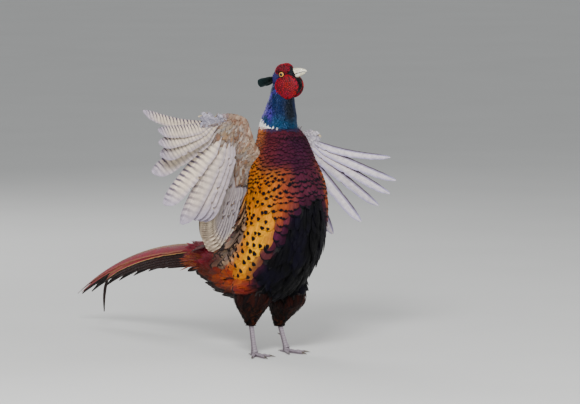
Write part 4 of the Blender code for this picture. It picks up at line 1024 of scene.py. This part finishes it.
def make_wing_coats():
    """Tiers of small feathers on each wing's lining and back; they are denser and smaller on the hand."""
    paint = feather_paint("wing_coverts", shaft=0.12, contrast=0.14, edges=(0.0, 0.8))
    lining = ((0.8, 12, 7), (5, 16, 6), (10, 20, 6), (16, 24, 7), (22, 27, 8), (29, 30, 9), (36, 33, 10),
              (44, 36, 12), (53, 38, 15))
    backs = ((1, 16, 13), (7, 18, 14), (14, 22, 15), (22, 26, 17), (31, 30, 19), (41, 36, 22), (52, 44, 25))

    def hand(n, low):
        return np.interp(n, [0, 4.5], [low, 1.0])

    for side, name in SIDES.items():
        items, sheet = [], wing_sheet(side, -1)
        for tier, (start, length, width) in enumerate(lining):
            n = np.arange(-0.2 + 0.2 * (tier % 2), 22.6, 0.27 if tier < 6 else 0.4)
            u = np.maximum(start * hand(n, 0.6) + 2.4 * np.sin(n * 5.3) + 1.2 * np.sin(n * 17.0), 0.5)
            items.append(coat(sheet, u, n, length * hand(n, 0.5), width * hand(n, 0.7),
                              lambda u, v: under_look(u, v, side), LONG if tier else ROUND,
                              lift=2.6 - 0.14 * tier, sink=0.6, swing=0.28, camber=0.06, thick=0.25,
                              seed=20 + tier))
        solid("lining_" + name, items, paint, atlas=WING_MAP)
        items, sheet = [], wing_sheet(side, 1)
        for tier, (start, length, width) in enumerate(backs):
            n = np.arange(-0.2 + 0.3 * (tier % 2), 22.6, 0.62 if tier < 4 else 0.85)
            u = np.maximum(start + 1.6 * np.sin(n * 5.3), 0.5)
            items.append(coat(sheet, u * hand(n, 0.5), n, length * hand(n, 0.45), width * 0.8 * hand(n, 0.5),
                              lambda u, v: upper_look(u, v, side), lift=2.6 - 0.25 * tier, sink=0.6,
                              swing=0.16, camber=0.08, seed=20 + tier))
        solid("coverts_" + name, items, paint, atlas=WING_MAP)


# Flight and tail feathers

# Places across both vanes, the shaft at 0
COLUMNS = np.array([-1, -0.86, -0.6, -0.32, -0.07, 0, 0.07, 0.4, 0.78, 1.0])


def ridge_at(t, tall):
    """Height of a feather's shaft, which tapers towards its tip."""
    return np.exp(-(COLUMNS / 0.06) ** 2)[None] * tall * (1 - 0.8 * t[:, None])


def vanes(faces, t, look, number, index, of, spread, chance):
    """One item for a mesh from the upper and the lower face of a feather."""
    rows = len(t)
    a, along = np.tile(np.tile(COLUMNS, rows), 2), np.tile(np.repeat(t, len(COLUMNS)), 2)
    face = np.repeat([1, -1], rows * len(COLUMNS))
    uv = np.column_stack([(index + 0.5 + spread * a + 0.25 * face) / of, 0.02 + 0.96 * along])
    tint, mark, bars = look(a, along, face, number)
    values = dict(points=np.concatenate([points.reshape(-1, 3) for points in faces]),
                  leaf=np.column_stack([a, along, np.full(len(a), chance)]), uv=uv, tint=tint, mark=mark,
                  pattern=np.column_stack([0 * along, 0 * along, bars]))
    return dict(faces=slab_faces(rows, len(COLUMNS)), **{key: value[None] for key, value in values.items()})


def quill(f, form, index, of, look, lead_share=0.3, twist=(8, 12), thick=0.5, camber=0.07, rows=44, nicks=3):
    """One flight or tail feather: two vanes, a raised shaft and a few splits along the rims."""
    rng = np.random.default_rng(100 + index)
    t = np.linspace(0, 1, rows) ** 0.94
    widths = np.interp(t, *np.array(form, float).T) * f["width"]
    widths = np.convolve(np.pad(widths, 1, mode="edge"), (0.25, 0.5, 0.25), "valid")
    middle, normal = shaft_points(f["root"], f["along"], f["up"], f["length"], f["bend"], t)
    middle = middle - f["lead"] * (f.get("sway", 0) * np.sin(np.pi * t**0.8))[:, None]
    turn = np.radians(twist[0] + (twist[1] - twist[0]) * t**0.7)[:, None]
    side = f["lead"] * np.cos(turn) + normal * np.sin(turn)
    normal = normal * np.cos(turn) - f["lead"] * np.sin(turn)
    reach = np.where(COLUMNS > 0, lead_share, 1 - lead_share) * COLUMNS
    rims = np.ones((rows, len(COLUMNS)))
    for _ in range(nicks):
        at, which = rng.integers(rows // 4, rows - 5), rng.choice([0, 0, 0, len(COLUMNS) - 1])
        rims[at, which] *= rng.uniform(0.8, 0.92)
    flat = widths[:, None] * reach[None] * rims
    sag = -camber * widths[:, None] * COLUMNS[None] ** 2 * np.where(COLUMNS > 0, lead_share, 1)[None]
    ripple = 0.25 * np.sin(t[:, None] * 60 + 3 * COLUMNS[None]) * np.abs(COLUMNS[None])
    centre = middle[:, None] + side[:, None] * flat[..., None] + normal[:, None] * (sag + ripple)[..., None]
    half = thick * (0.5 - 0.32 * np.abs(COLUMNS[None])) + ridge_at(t, 0.5)
    half = half[..., None] * normal[:, None]
    return vanes((centre + half, centre - half), t, look, f["number"], index, of, 0.22 * 0.9, rng.uniform())


FLIGHT_FORM = ((0, 0.12), (0.12, 0.16), (0.3, 0.86), (0.6, 1), (0.84, 0.94), (0.93, 0.76), (0.98, 0.44),
               (1, 0.1))
INNER_FORM = ((0, 0.14), (0.14, 0.3), (0.36, 0.92), (0.78, 1), (0.93, 0.84), (0.98, 0.5), (1, 0.12))
TAIL_FORM = ((0, 0.25), (0.1, 0.7), (0.3, 1), (0.5, 0.86), (0.7, 0.62), (0.87, 0.36), (1, 0.05))


def primary_look(a, t, face, number, side):
    """Cream below with lilac rims and tips, and grey bars that fade behind the shaft and on the inner ones.

    The left wing is paler and nearly without bars, with dark leading rims.
    """
    under, inward, rim = (face < 0)[:, None], ramp(number, 4.5, 7.5), ramp(np.abs(a), 0.6, 1.0)
    pale = layers("dccab4", ("c4b4b2", 0.8 * inward), ("a39aae", ramp(t, 0.72, 1.0) * 0.9),
                  ("9d93a4", rim * 0.7))
    strong = (0.35 + 0.65 * ramp(a, -0.6, 0.2)) * (1 - 0.75 * inward) * (1 - 0.4 * ramp(t, 0.8, 1))
    if side > 0:
        strong = strong * 0.12
        lilac = blend("a49cc4", "dcd4d8", ramp(1 - np.abs(a + 0.3), 0.3, 0.9))
        pale = layers(lilac, (pale, 0.1), ("3c2c2c", ramp(a, 0.3, 0.8) * 0.9 * fade(t, 0.85, 1)))
    tint = np.where(under, pale, blend("5f5145", "7c6c5d", ramp(t, 0.2, 1)))
    mark = np.where(under, blend(pale, "4c4458", strong), rgb("c8b493"))
    return tint, mark, np.where(t < 0.97, 21.0 - 0.6 * number, 0.0)


def inner_look(a, t, face, number):
    """Lilac grey below, paler at the rims, with buff tips that carry thin dark bars; brown above."""
    under, side = (face < 0)[:, None], np.abs(a)
    lilac = layers(
        blend("b4a8a8", "847a84", ramp(number, 11, 15)),
        ("a79ca4", 0.45 * (0.5 + 0.5 * np.sin(a * 19 + 3 * t + number))),
        ("c4b8b0", ramp(side, 0.8, 1.0) * 0.6),
        ("d8c4a8", ramp(t + 0.05 * side, 0.86, 0.98) * 0.85),
    )
    tint = np.where(under, lilac, blend("6f5c4b", "a08462", ramp(side, 0.4, 1.0)))
    mark = np.where(under, blend(lilac, "54443c", 0.55), rgb("43342a"))
    return tint, mark, np.where((t > 0.86) | (face > 0), 16.0, 0.0)


def tail_look(a, t, face, pair):
    """Buff at the shaft with dark bars, rosy at the sides, pale at the rims; outer pairs, undersides and the
    second pair's tips are painted shade, near black.
    """
    side = np.abs(a)
    pale = ramp(side, 0.9, 1.0) * (0.9 if pair == 2 else 0.3) * (1 - 0.8 * ramp(t, 0.82, 0.9))
    rosy = layers("b07a44", ("8a6238", ramp(t, 0.1, 0.9)), ("8a2a38", ramp(side, 0.08, 0.36)),
                  ("d0a868", pale))
    # Painted shade: the second pair's tips are darkened where one of them hangs down.
    if pair == 2:
        rosy = blend(rosy, "1c0e0a", ramp(t, 0.82, 0.9))
    # Painted shade: the outer pairs are painted near black.
    if pair > 2:
        rosy = blend(rosy, blend("0c0807", "2c160e", ramp(side, 0.85, 1.0)), 0.95)
    # Painted shade: the underside of every tail feather is painted near black.
    tint = np.where((face < 0)[:, None], blend("120b0a", "3a2018", ramp(side, 0.6, 1)), rosy)
    return tint, np.broadcast_to(rgb("150d0c"), tint.shape), np.where(side < 0.3, 26.0, 0.0) * (pair < 2)


def make_flights():
    paint = feather_paint("flight_vanes", barbs=90.0, slant=16.0, contrast=0.08, shaft=0.2, edges=(-0.3, 0.9))
    numbers = [*range(PRIMARIES), *np.linspace(PRIMARIES, INNERMOST - 0.5, 18)]
    for side, name in SIDES.items():
        items = []
        for index, f in enumerate(flight_frames(side, numbers)):
            hand = f["number"] < PRIMARIES
            f["root"] = f["root"] + f["up"] * 0.55 * max(f["number"] - PRIMARIES + 1, 0)
            f["sway"] = float(np.interp(f["number"], [0, 1, 2, 4], [13, 7, 4, 0]))
            f["width"] *= 0.92 if hand and side > 0 else 1.12
            form, look, lead, rows = (
                (FLIGHT_FORM, lambda *spot: primary_look(*spot, side), 0.3, 44) if hand
                else (INNER_FORM, inner_look, 0.4, 32))
            items.append(quill(f, form, index, len(numbers), look, lead, (8, f["twist"]), rows=rows))
        solid("flights_" + name, items, paint, ("wing_" + name,))


@on_grids
def tail_roof(back, sideways, lift, level=0.0):
    """Points on the tail's roof: back along its ridge, sideways round it, lift off it, level straight up."""
    fall = math.radians(TAIL_DROOP / 2 - TAIL_RISE)
    along, up = np.array([0, math.cos(fall), -math.sin(fall)]), np.array([0, math.sin(fall), math.cos(fall)])
    line, normal = shaft_points(np.array(TAIL_ROOT, float), along, up, TAIL_LENGTHS[0], TAIL_DROOP,
                                back / TAIL_LENGTHS[0])
    steepest = math.radians(TAIL_SLOPE)
    turn = np.clip(sideways / TAIL_RIDGE, -steepest, steepest)
    spare = sideways - turn * TAIL_RIDGE
    out = TAIL_RIDGE * np.sin(turn) + spare * np.cos(turn) + lift * np.sin(turn)
    rise = TAIL_RIDGE * (np.cos(turn) - 1) - spare * np.sin(turn) + lift * np.cos(turn) + level
    return line + np.outer(out, (1.0, 0, 0)) + rise[:, None] * normal


def tail_quill(pair, side, index, of, rows=60):
    """One tail feather, laid on the tail's roof under the pair before it."""
    rng = np.random.default_rng(300 + index)
    length, t = TAIL_LENGTHS[pair], np.linspace(0, 1, rows) ** 0.95
    widths = np.interp(t, *np.array(TAIL_FORM, float).T) * TAIL_WIDTHS[pair]
    middle = 2.0 + 1.3 * pair + length * t * math.sin(math.radians(0.4 + 0.95 * pair))
    past, drop = RIDGE_OVERLAP if pair < 3 else -0.5, np.zeros(rows)
    if (pair, side) == HANGING:
        drop = HANG_DROP * np.clip((t - HANG_START) / (1 - HANG_START), 0, 1) ** 1.6
        widths = widths * (1 + 0.8 * ramp(t, 0.76, 0.88))
    inner, outer = np.minimum(0.58 * widths, middle + past), (0.58 if pair == 0 else 0.42) * widths
    split = np.where(COLUMNS > 0, outer[:, None], inner[:, None]) * COLUMNS
    ragged = rng.uniform(0, 1, (rows, len(COLUMNS))) ** 6 * (np.abs(COLUMNS) > 0.9)
    v = side * (middle[:, None] + split * (1 - 0.08 * ragged))
    level = -TAIL_STEP * (pair + (0.5 if pair < 3 and side > 0 else 0)) - drop[:, None] + 0 * v
    half = 0.3 * (1 - 0.6 * np.abs(COLUMNS)) + ridge_at(t, 0.45)
    sag = -0.03 * widths[:, None] * COLUMNS**2
    back = length * t - 0.2 * drop
    faces = [tail_roof(back[:, None], v, lift, level) for lift in (sag + half, sag - half)]
    if drop.any():
        shaft = tail_roof(back, side * middle, 0, level[:, 0])[:, None]
        fallen = np.arctan2(np.gradient(drop), np.gradient(length * t))[:, None]
        for points in faces:
            off = points - shaft
            points[..., 1] = shaft[..., 1] + off[..., 1] * np.cos(fallen) - off[..., 2] * np.sin(fallen)
            points[..., 2] = shaft[..., 2] + off[..., 2] * np.cos(fallen)
    return vanes(faces, t, tail_look, pair, index, of, 0.2, rng.uniform())


def rump_look(u, v):
    """Tints of the hair-like feathers over the tail's roots: maroon above, orange brown lower down."""
    return plain(layers("6e0c1c", ("a0203a", toss(u, v)),
                        (blend("7c2c10", "9c4a1c", toss(u, v, 3.0)), ramp(np.abs(v), 24, 40))))


def make_tail():
    paint = feather_paint("tail_vanes", 0.25, barbs=110.0, slant=14.0, shaft=0.2)
    places = [(pair, side) for pair in range(len(TAIL_LENGTHS)) for side in SIDES]
    items = [tail_quill(*at, index, len(places)) for index, at in enumerate(places)]
    solid("tail_feathers", items, paint, ("tail",))
    hair = feather_paint("rump_plumage")
    v, u = np.meshgrid(np.arange(-44, 45, 2.2), np.arange(-8, 46, 5.0))
    u = u + 3 * (np.arange(v.shape[1]) % 2) + 6 * np.sin(2.3 * v)
    item = coat(tail_roof, u.ravel(), v.ravel(), np.full(v.size, 42.0), np.full(v.size, 3.2), rump_look,
                LONG, THREE, lift=5.0, sink=2.0, swing=0.26)
    solid("coat_tail_root", [item], hair, atlas=map_of(-50, 100, -10, 64))


# The head's bare parts

PAPILLAE = 420


def globe(rings, around):
    """Angles down from the outer pole, and a unit ball's points for them."""
    down, turn = np.pi * (np.arange(rings) + 0.5) / rings, turns(around)
    out, flat = np.cos(down)[:, None], np.sin(down)[:, None]
    return down, np.stack([out * np.ones(around), flat * np.cos(turn), flat * np.sin(turn)], axis=-1)


def lobe_tube(side, lobe, rings=64, around=112):
    """A wattle lobe: an ellipsoid covered with papillae, pressed in round the eye."""
    ahead, up, long, tall, reach, deep = lobe
    middle, size = np.array([reach - deep, ahead, up]), np.array([deep, long, tall])
    own = (middle + globe(rings, around)[1] * size).reshape(-1, 3)
    out = unit((own - middle) / size**2)
    tree, turn = kdtree.KDTree(PAPILLAE), np.pi * (3 - 5**0.5)
    for k in range(PAPILLAE):
        high = 1 - 2 * (k + 0.5) / PAPILLAE
        flat = math.sqrt(1 - high * high)
        tree.insert(Vector(middle + size * (high, flat * math.cos(turn * k), flat * math.sin(turn * k))), k)
    tree.balance()
    bumps, specks = [], []
    for p in own:
        (_, seed, first), (_, _, second) = tree.find_n(Vector(p), 2)
        bumps.append(min((second - first) / 1.5, 1.0))
        specks.append((toss(seed, 0.5) < 0.3) * (1 - min(first / 1.9, 1)))
    bumps = np.array(bumps)
    own = own + out * (1.1 * bumps - 0.5)[:, None]
    pit = fade(np.hypot(own[:, 1] - EYE_PLACE[1], own[:, 2] - EYE_PLACE[2]), 4.9, 7.2)
    own[:, 0] = np.where(own[:, 0] > 8, own[:, 0] * (1 - pit) + np.minimum(own[:, 0], 12.5) * pit, own[:, 0])
    own[:, 0] = side * np.maximum(own[:, 0], 0.3)
    rim = ramp(np.hypot((own[:, 1] - ahead) / long, (own[:, 2] - up) / tall), 0.75, 1.0)
    # Painted shade: the grooves between the papillae are painted near black, and the red of the papillae is
    # brighter at the lobe's rim; the specks are the wattle's own dark dots.
    tint = layers("14000a", (blend("8a001e", "c4002a", rim), ramp(bumps, 0.1, 0.95)),
                  ("180008", 0.9 * ramp(np.array(specks), 0.25, 0.6)))
    return tube(head_place(own).reshape(rings, around, 3), tint)


def make_wattles():
    paint = grained("wattle_flesh", (900.0, 3.0), 0.35, 0.0003, 0.2, rough=(0.45, 0.65), hue=(0.495, 0.51),
                    Specular_IOR_Level=0.2)
    for side, name in SIDES.items():
        items = [lobe_tube(side, lobe) for lobe in LOBES]
        solid("wattles_" + name, items, paint, ("wattle_" + name,), sharp=0)


def make_eyes():
    paint = grained("eye_ball", (1500.0, 2.0), 0.02, 0.0001, 0.1, Roughness=0.12, Coat_Weight=0.3,
                    Coat_Roughness=0.04, Specular_IOR_Level=0.25)
    around = 48
    down, ball = globe(40, around)
    away = np.degrees(down)
    iris = layers("c06808", ("f0bc48", ramp(away, 32, 38)), ("c46a0c", ramp(away, 48, 56)),
                  ("1c0c04", ramp(away, 58, 64)))
    tint = np.repeat(blend("010101", iris, ramp(away, 30, 33)), around, axis=0)
    swell = 1 + 0.05 * np.exp(-(down / 0.5) ** 2)[:, None, None]
    for side, name in SIDES.items():
        own = np.array(EYE_PLACE) * (side, 1, 1) + ball * swell * EYE_RADIUS * (side, 1, 1)
        solid("eyeball_" + name, [tube(head_place(own), tint)], paint, ("eye_" + name,), sharp=0)


def make_lids():
    paint = grained("lid_skin", (1200.0, 3.0), 0.4, 0.0002, tones=(0.4, 0.65, "1a0d0c", "4a1a18"),
                    Roughness=0.5)
    rings, around, items = 56, 12, []
    turn, lean = turns(rings)[:, None], turns(around)[None, :]
    thick = 0.65 + 0.06 * np.sin(9 * turn)
    away = 4.95 + thick * np.cos(lean)
    for side in SIDES:
        own = np.stack([side * (EYE_PLACE[0] + 2.5 + thick * 1.1 * np.sin(lean)),
                        EYE_PLACE[1] + away * np.cos(turn), EYE_PLACE[2] + 0.95 * away * np.sin(turn)], -1)
        items.append(dict(points=head_place(own).reshape(1, -1, 3), faces=ring_faces(rings, around, True)))
    solid("eyelids", items, paint, sharp=0)


def make_bill():
    """Each half of the bill from its sections: forward, half width, outer and inner height over its line."""
    paint = grained("bill_horn_paint", (240.0, 4.0, 0.6), 0.25, 0.0003, tones=(0.35, 0.7, "c9c0a0", "f0ead4"),
                    leaf_tone="8c8266", rough=(0.28, 0.45), Coat_Weight=0.15)
    upper = ((11.5, 7.2, 11.0, 0.3), (19.5, 6.8, 11.4, 0.4), (27.5, 6.0, 10.4, 0.6), (35.5, 4.8, 7.8, 0.3),
             (41.5, 3.4, 4.6, -0.6), (45.5, 1.9, 1.2, -2.4), (47.0, 0.6, -1.4, -3.4))
    lower = ((11.5, 6.8, -8.4, -1.0), (19.5, 6.3, -8.4, -1.1), (27.5, 5.4, -7.8, -1.3),
             (34.5, 4.2, -6.8, -1.6), (39.5, 2.8, -5.8, -2.2), (43.5, 0.8, -4.6, -3.4))
    turn, inside = np.linspace(0, math.pi, 25), np.linspace(-1, 1, 9)[1:-1]
    for name, table, step in (("bill_upper", upper, 0.5), ("bill_lower", lower, -0.5)):
        rings = []
        for ahead, width, outer, inner in through(table, np.linspace(0, len(table) - 1, 60)):
            high, wide = inner + (outer - inner) * np.sin(turn) ** 0.85, width * np.cos(turn)
            if name == "bill_upper":
                # The nostril, and the flap that swells over it
                near = np.exp(-((ahead - 27.0) / 3.6) ** 2 - ((high - 5.4) / 1.5) ** 2)
                swell = np.exp(-((ahead - 26.0) / 4.5) ** 2 - ((high - 7.2) / 1.6) ** 2)
                wide = wide + np.sign(wide) * (0.7 * swell - 1.3 * near)
            shell = np.column_stack([wide, np.full(len(turn), ahead), BILL_LINE + high])
            roof = [(width * x * 0.96, ahead, BILL_LINE + inner + step) for x in inside]
            rings.append(np.vstack([shell, roof]))
        made = tube(head_place(np.array(rings)))
        # The horn is darker towards its bottom, by the leaf attribute's third value.
        high = made["points"][0] @ head_turn((0, 0, 1.0))
        made["leaf"] = np.zeros_like(made["points"])
        made["leaf"][0, :, 2] = 0.25 * ramp(-high, -high.max(), -high.min())
        solid(name + "_horn", [made], paint, (name,), sharp=45)


CLUB = ((0, 0.25), (0.4, 0.6), (0.78, 1), (0.92, 0.85), (1, 0.3))


def ear_look(a, t, face, number):
    return blend("03100e", "041c1e", ramp(t, 0.2, 1.0)), np.zeros((len(t), 3)), 0 * t


def make_ear_tufts():
    paint = feather_paint("ear_plumage", 0.25, 0.25, contrast=0.12, shaft=0.1)
    items, rows, each = [], 2, 11
    for side in SIDES:
        for k in range(rows * each):
            layer, level = k // each, k % each / (each - 1) - 0.5
            f = dict(root=head_place((side * (9.5 + 1.2 * layer), -12, 1.0 + 4.0 * level)),
                     along=unit(head_turn((side * (0.16 + 0.03 * layer), -1, 0.02 + 0.22 * level))),
                     length=34.0 + 3 * math.cos(2.4 * level) - 2.5 * layer, width=6.4,
                     bend=4 + 5 * level, number=k)
            up = head_turn((side, 0, 0))
            f["up"] = unit(up - (up @ f["along"]) * f["along"])
            f["lead"] = np.cross(f["up"], f["along"])
            items.append(quill(f, CLUB, k, rows * each, ear_look, 0.5, (0, 0), thick=0.3, camber=0.1,
                               rows=12, nicks=0))
    solid("ear_tufts", items, paint)


# Legs

def scutes(share, turn, count, depth):
    """Height of the scales on a leg or toe: broad plates in front and behind, small ones at the sides."""
    front = np.cos(turn)
    row = share * count + np.where(front > 0, 0.0, 0.5)
    plate = np.abs((row % 1.0) - 0.5) * 2
    broad = 1 - ramp(plate, 0.72, 1.0) + 0.25 * (row % 1.0)
    small = np.sin(share * count * 4.4 + 3 * turn) * np.sin(share * count * 4.4 - 3 * turn)
    mid = ramp(np.abs(front), 0.25, 0.5)
    return depth * (mid * broad + (1 - mid) * (0.5 + 0.4 * small))


def leg_tube(path, radii, aspect, count, depth, ahead, flat=False, around=40):
    """A scaled tube along a path; ahead is the way that its broad plates face."""
    path = np.asarray(path, float)
    aim = unit(np.gradient(path, axis=0))
    across = unit(np.cross(aim, ahead))
    front = np.cross(across, aim)
    turn, share = turns(around), np.linspace(0, 1, len(path))
    height = scutes(share[:, None], turn[None], count, depth)
    size = np.asarray(radii)[:, None] + height
    rings = (path[:, None] + front[:, None] * (size * np.cos(turn) * aspect)[..., None]
             + across[:, None] * (size * np.sin(turn))[..., None])
    if flat:
        rings[..., 2] = np.maximum(rings[..., 2], 0)
    made = tube(rings)
    level = np.concatenate([height.ravel() / depth, [0.5, 0.5]])
    made["tint"] = blend(rgb("463c42"), rgb("90848e"), ramp(level, 0.1, 1.0))[None]
    return made


def horn(path, radius, aim, squeeze=1.0, around=16):
    """A claw or spur: a round cone along a path, squeezed sideways."""
    turn, radius = turns(around), radius[:, None]
    return tube(path[:, None] + (squeeze * radius * np.cos(turn))[..., None] * unit(np.cross(aim, UP))
                + (radius * np.sin(turn))[..., None] * UP)


def toe_and_claw(base, aim, length, radius, hind):
    """A scaled toe that comes down from the foot's ball, and its claw."""
    share = np.linspace(0, 1, 90)
    bulge = 1 + 0.09 * np.cos(2 * math.pi * share * (3 if length > 25 else 2))
    size = radius * (1 - 0.32 * share) * bulge
    height = np.maximum(size * 0.82, 8.5 * (1 - share * 3))
    path = base + aim * (length * share - 2)[:, None] + np.outer(height, UP)
    radii = size * np.sqrt(np.clip(1 - share**24, 0.05, 1))
    toe = leg_tube(path, radii, 1.0, max(int(length / 3.4), 4), 0.28, (0, 0, 1), True)
    share, thick = np.linspace(0, 1, 28), radius * 0.62
    tip = thick * (1 - 0.86 * share)
    high = thick + 0.5 + 1.2 * np.sin(math.pi * share * 0.8) * (1 - share)
    high = np.maximum(high * (1 - share * 0.4), tip + 0.15)
    reach = 3.0 + 11.0 * (0.8 if hind else 1)
    path = base + aim * (length - 5.0) + aim * (reach * share)[:, None] + np.outer(high, UP)
    return toe, horn(path, tip, aim, 0.8)


def make_legs():
    skin = grained("leg_scales", (500.0, 4.0), 0.3, 0.0003, 0.25, rough=(0.4, 0.62))
    nail = grained("claw_paint", (350.0, 4.0, 0.4), 0.2, 0.0002, tones=(0.3, 0.7, "2b241f", "6b6055"),
                   Roughness=0.35)
    for side, (ankle, foot, turn_out, *_) in LEGS.items():
        ankle, foot, name = np.array(ankle, float), np.array(foot, float), SIDES[side]
        base = foot * (1, 1, 0)
        share = np.linspace(-0.06, 1.02, 120)
        radii = 4.1 + 2.0 * np.abs(2 * share - 1) ** 4
        shank = leg_tube(ankle + (foot - ankle) * share[:, None], radii, 1.12, 15, 0.45, (0, -1, 0))
        level = np.linspace(-1, 1, 26)
        radii = 6.9 * np.sqrt(np.clip(1 - level**2, 0.02, 1))
        ball = leg_tube(base + level[:, None] * UP * 6.4 + UP * 5.4, radii, 1.0, 5, 0.25, (0, -1, 0), True)
        toes, claws = [ball], []
        for toe, (angle, length, radius) in TOES.items():
            turn = math.radians(angle + turn_out) * side
            aim = np.array([math.sin(turn), -math.cos(turn), 0.0])
            for made, kept in zip(toe_and_claw(base, aim, length, radius, toe == "hind"), (toes, claws)):
                kept.append(made)
        share, aim = np.linspace(0, 1, 24), unit((-side * 0.5, 1, 0.15))
        path = ankle + (foot - ankle) * 0.62 + aim * (11 * share)[:, None] + np.outer(1.6 * share**2, UP)
        spur = horn(path, 2.9 * (1 - 0.86 * share), aim)
        solid("leg_" + name, [shank], skin, ("shank_" + name,), sharp=0)
        solid("toes_" + name, toes, skin, ("foot_" + name,), sharp=0)
        solid("claws_" + name, claws, nail, tuple(f"claw_{name}_{toe}" for toe in TOES), sharp=0)
        solid("spur_horn_" + name, [spur], nail, ("spur_" + name,), sharp=0)


# Floor, light and camera

def make_stage():
    floor_mesh = bpy.data.meshes.new("floor")
    floor_mesh.from_pydata([(-40, -40, 0), (40, -40, 0), (40, 40, 0), (-40, 40, 0)], [], [(0, 1, 2, 3)])
    floor = bpy.data.objects.new("floor", floor_mesh)
    bpy.context.scene.collection.objects.link(floor)
    p = Paint("floor_paint", Roughness=0.85)
    speck = p.grain(3.0, 2.0)
    floor_mesh.materials.append(p.finish(p.mix(speck, (0.74, 0.74, 0.72, 1), (0.80, 0.80, 0.78, 1))))
    world = bpy.data.worlds.new("studio")
    world.use_nodes = True
    world.node_tree.nodes["Background"].inputs[0].default_value = (0.80, 0.82, 0.84, 1)
    world.node_tree.nodes["Background"].inputs[1].default_value = 0.5
    bpy.context.scene.world = world
    target = Vector(to_row((0, 20, 290)))
    for name, place_at, size, power in (("key", (-1.6, -1.8, 1.7), 0.7, 80.0),
                                        ("fill", (2.0, -1.4, 0.9), 1.6, 14.0),
                                        ("rim", (0.4, 2.2, 1.7), 1.2, 26.0)):
        light = bpy.data.lights.new(name, "AREA")
        light.size, light.energy = size, power
        lamp = bpy.data.objects.new(name, light)
        lamp.location = Vector(place_at)
        lamp.rotation_euler = (target - lamp.location).to_track_quat("-Z", "Y").to_euler()
        bpy.context.scene.collection.objects.link(lamp)


# The camera: degrees round from the breast and up, metres away, pixels across and millimetres to each
AZIMUTH, ELEVATION, AWAY, PIXELS, PIXEL = -40, 6, 9.0, 580, 1.9


def make_camera():
    turn, lift = math.radians(AZIMUTH), math.radians(ELEVATION)
    back = np.array([math.sin(turn) * math.cos(lift), -math.cos(turn) * math.cos(lift), math.sin(lift)])
    right = np.array([math.cos(turn), math.sin(turn), 0.0])
    up = np.cross(back, right)
    target = to_row(28.5 * right + 290.7 * up)
    lens = bpy.data.cameras.new("camera")
    lens.sensor_width, lens.lens = 36.0, 36.0 * AWAY / (PIXELS * PIXEL * MM)
    lens.clip_start, lens.clip_end = 0.1, 200.0
    camera = bpy.data.objects.new("camera", lens)
    camera.location = Vector(target + back * AWAY)
    camera.rotation_euler = Vector(-back).to_track_quat("-Z", "Y").to_euler()
    bpy.context.scene.collection.objects.link(camera)
    bpy.context.scene.camera = camera


# The bird's frame is moved so that the torso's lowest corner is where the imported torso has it
SPOTS = np.linspace(*TORSO)[:, None], 90 + 360 * np.arange(TORSO_SIDES)[None, :] / TORSO_SIDES
SHIFT = np.array(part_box("torso")[0]) - body_at(*SPOTS, 0).reshape(-1, 3).min(0) * MM

make_stage()
make_camera()
make_skin()
make_body_coat()
make_neck_coat()
make_head_coat()
make_thigh_coat()
make_wing_coats()
make_flights()
make_tail()
make_wattles()
make_eyes()
make_lids()
make_bill()
make_ear_tufts()
make_legs()
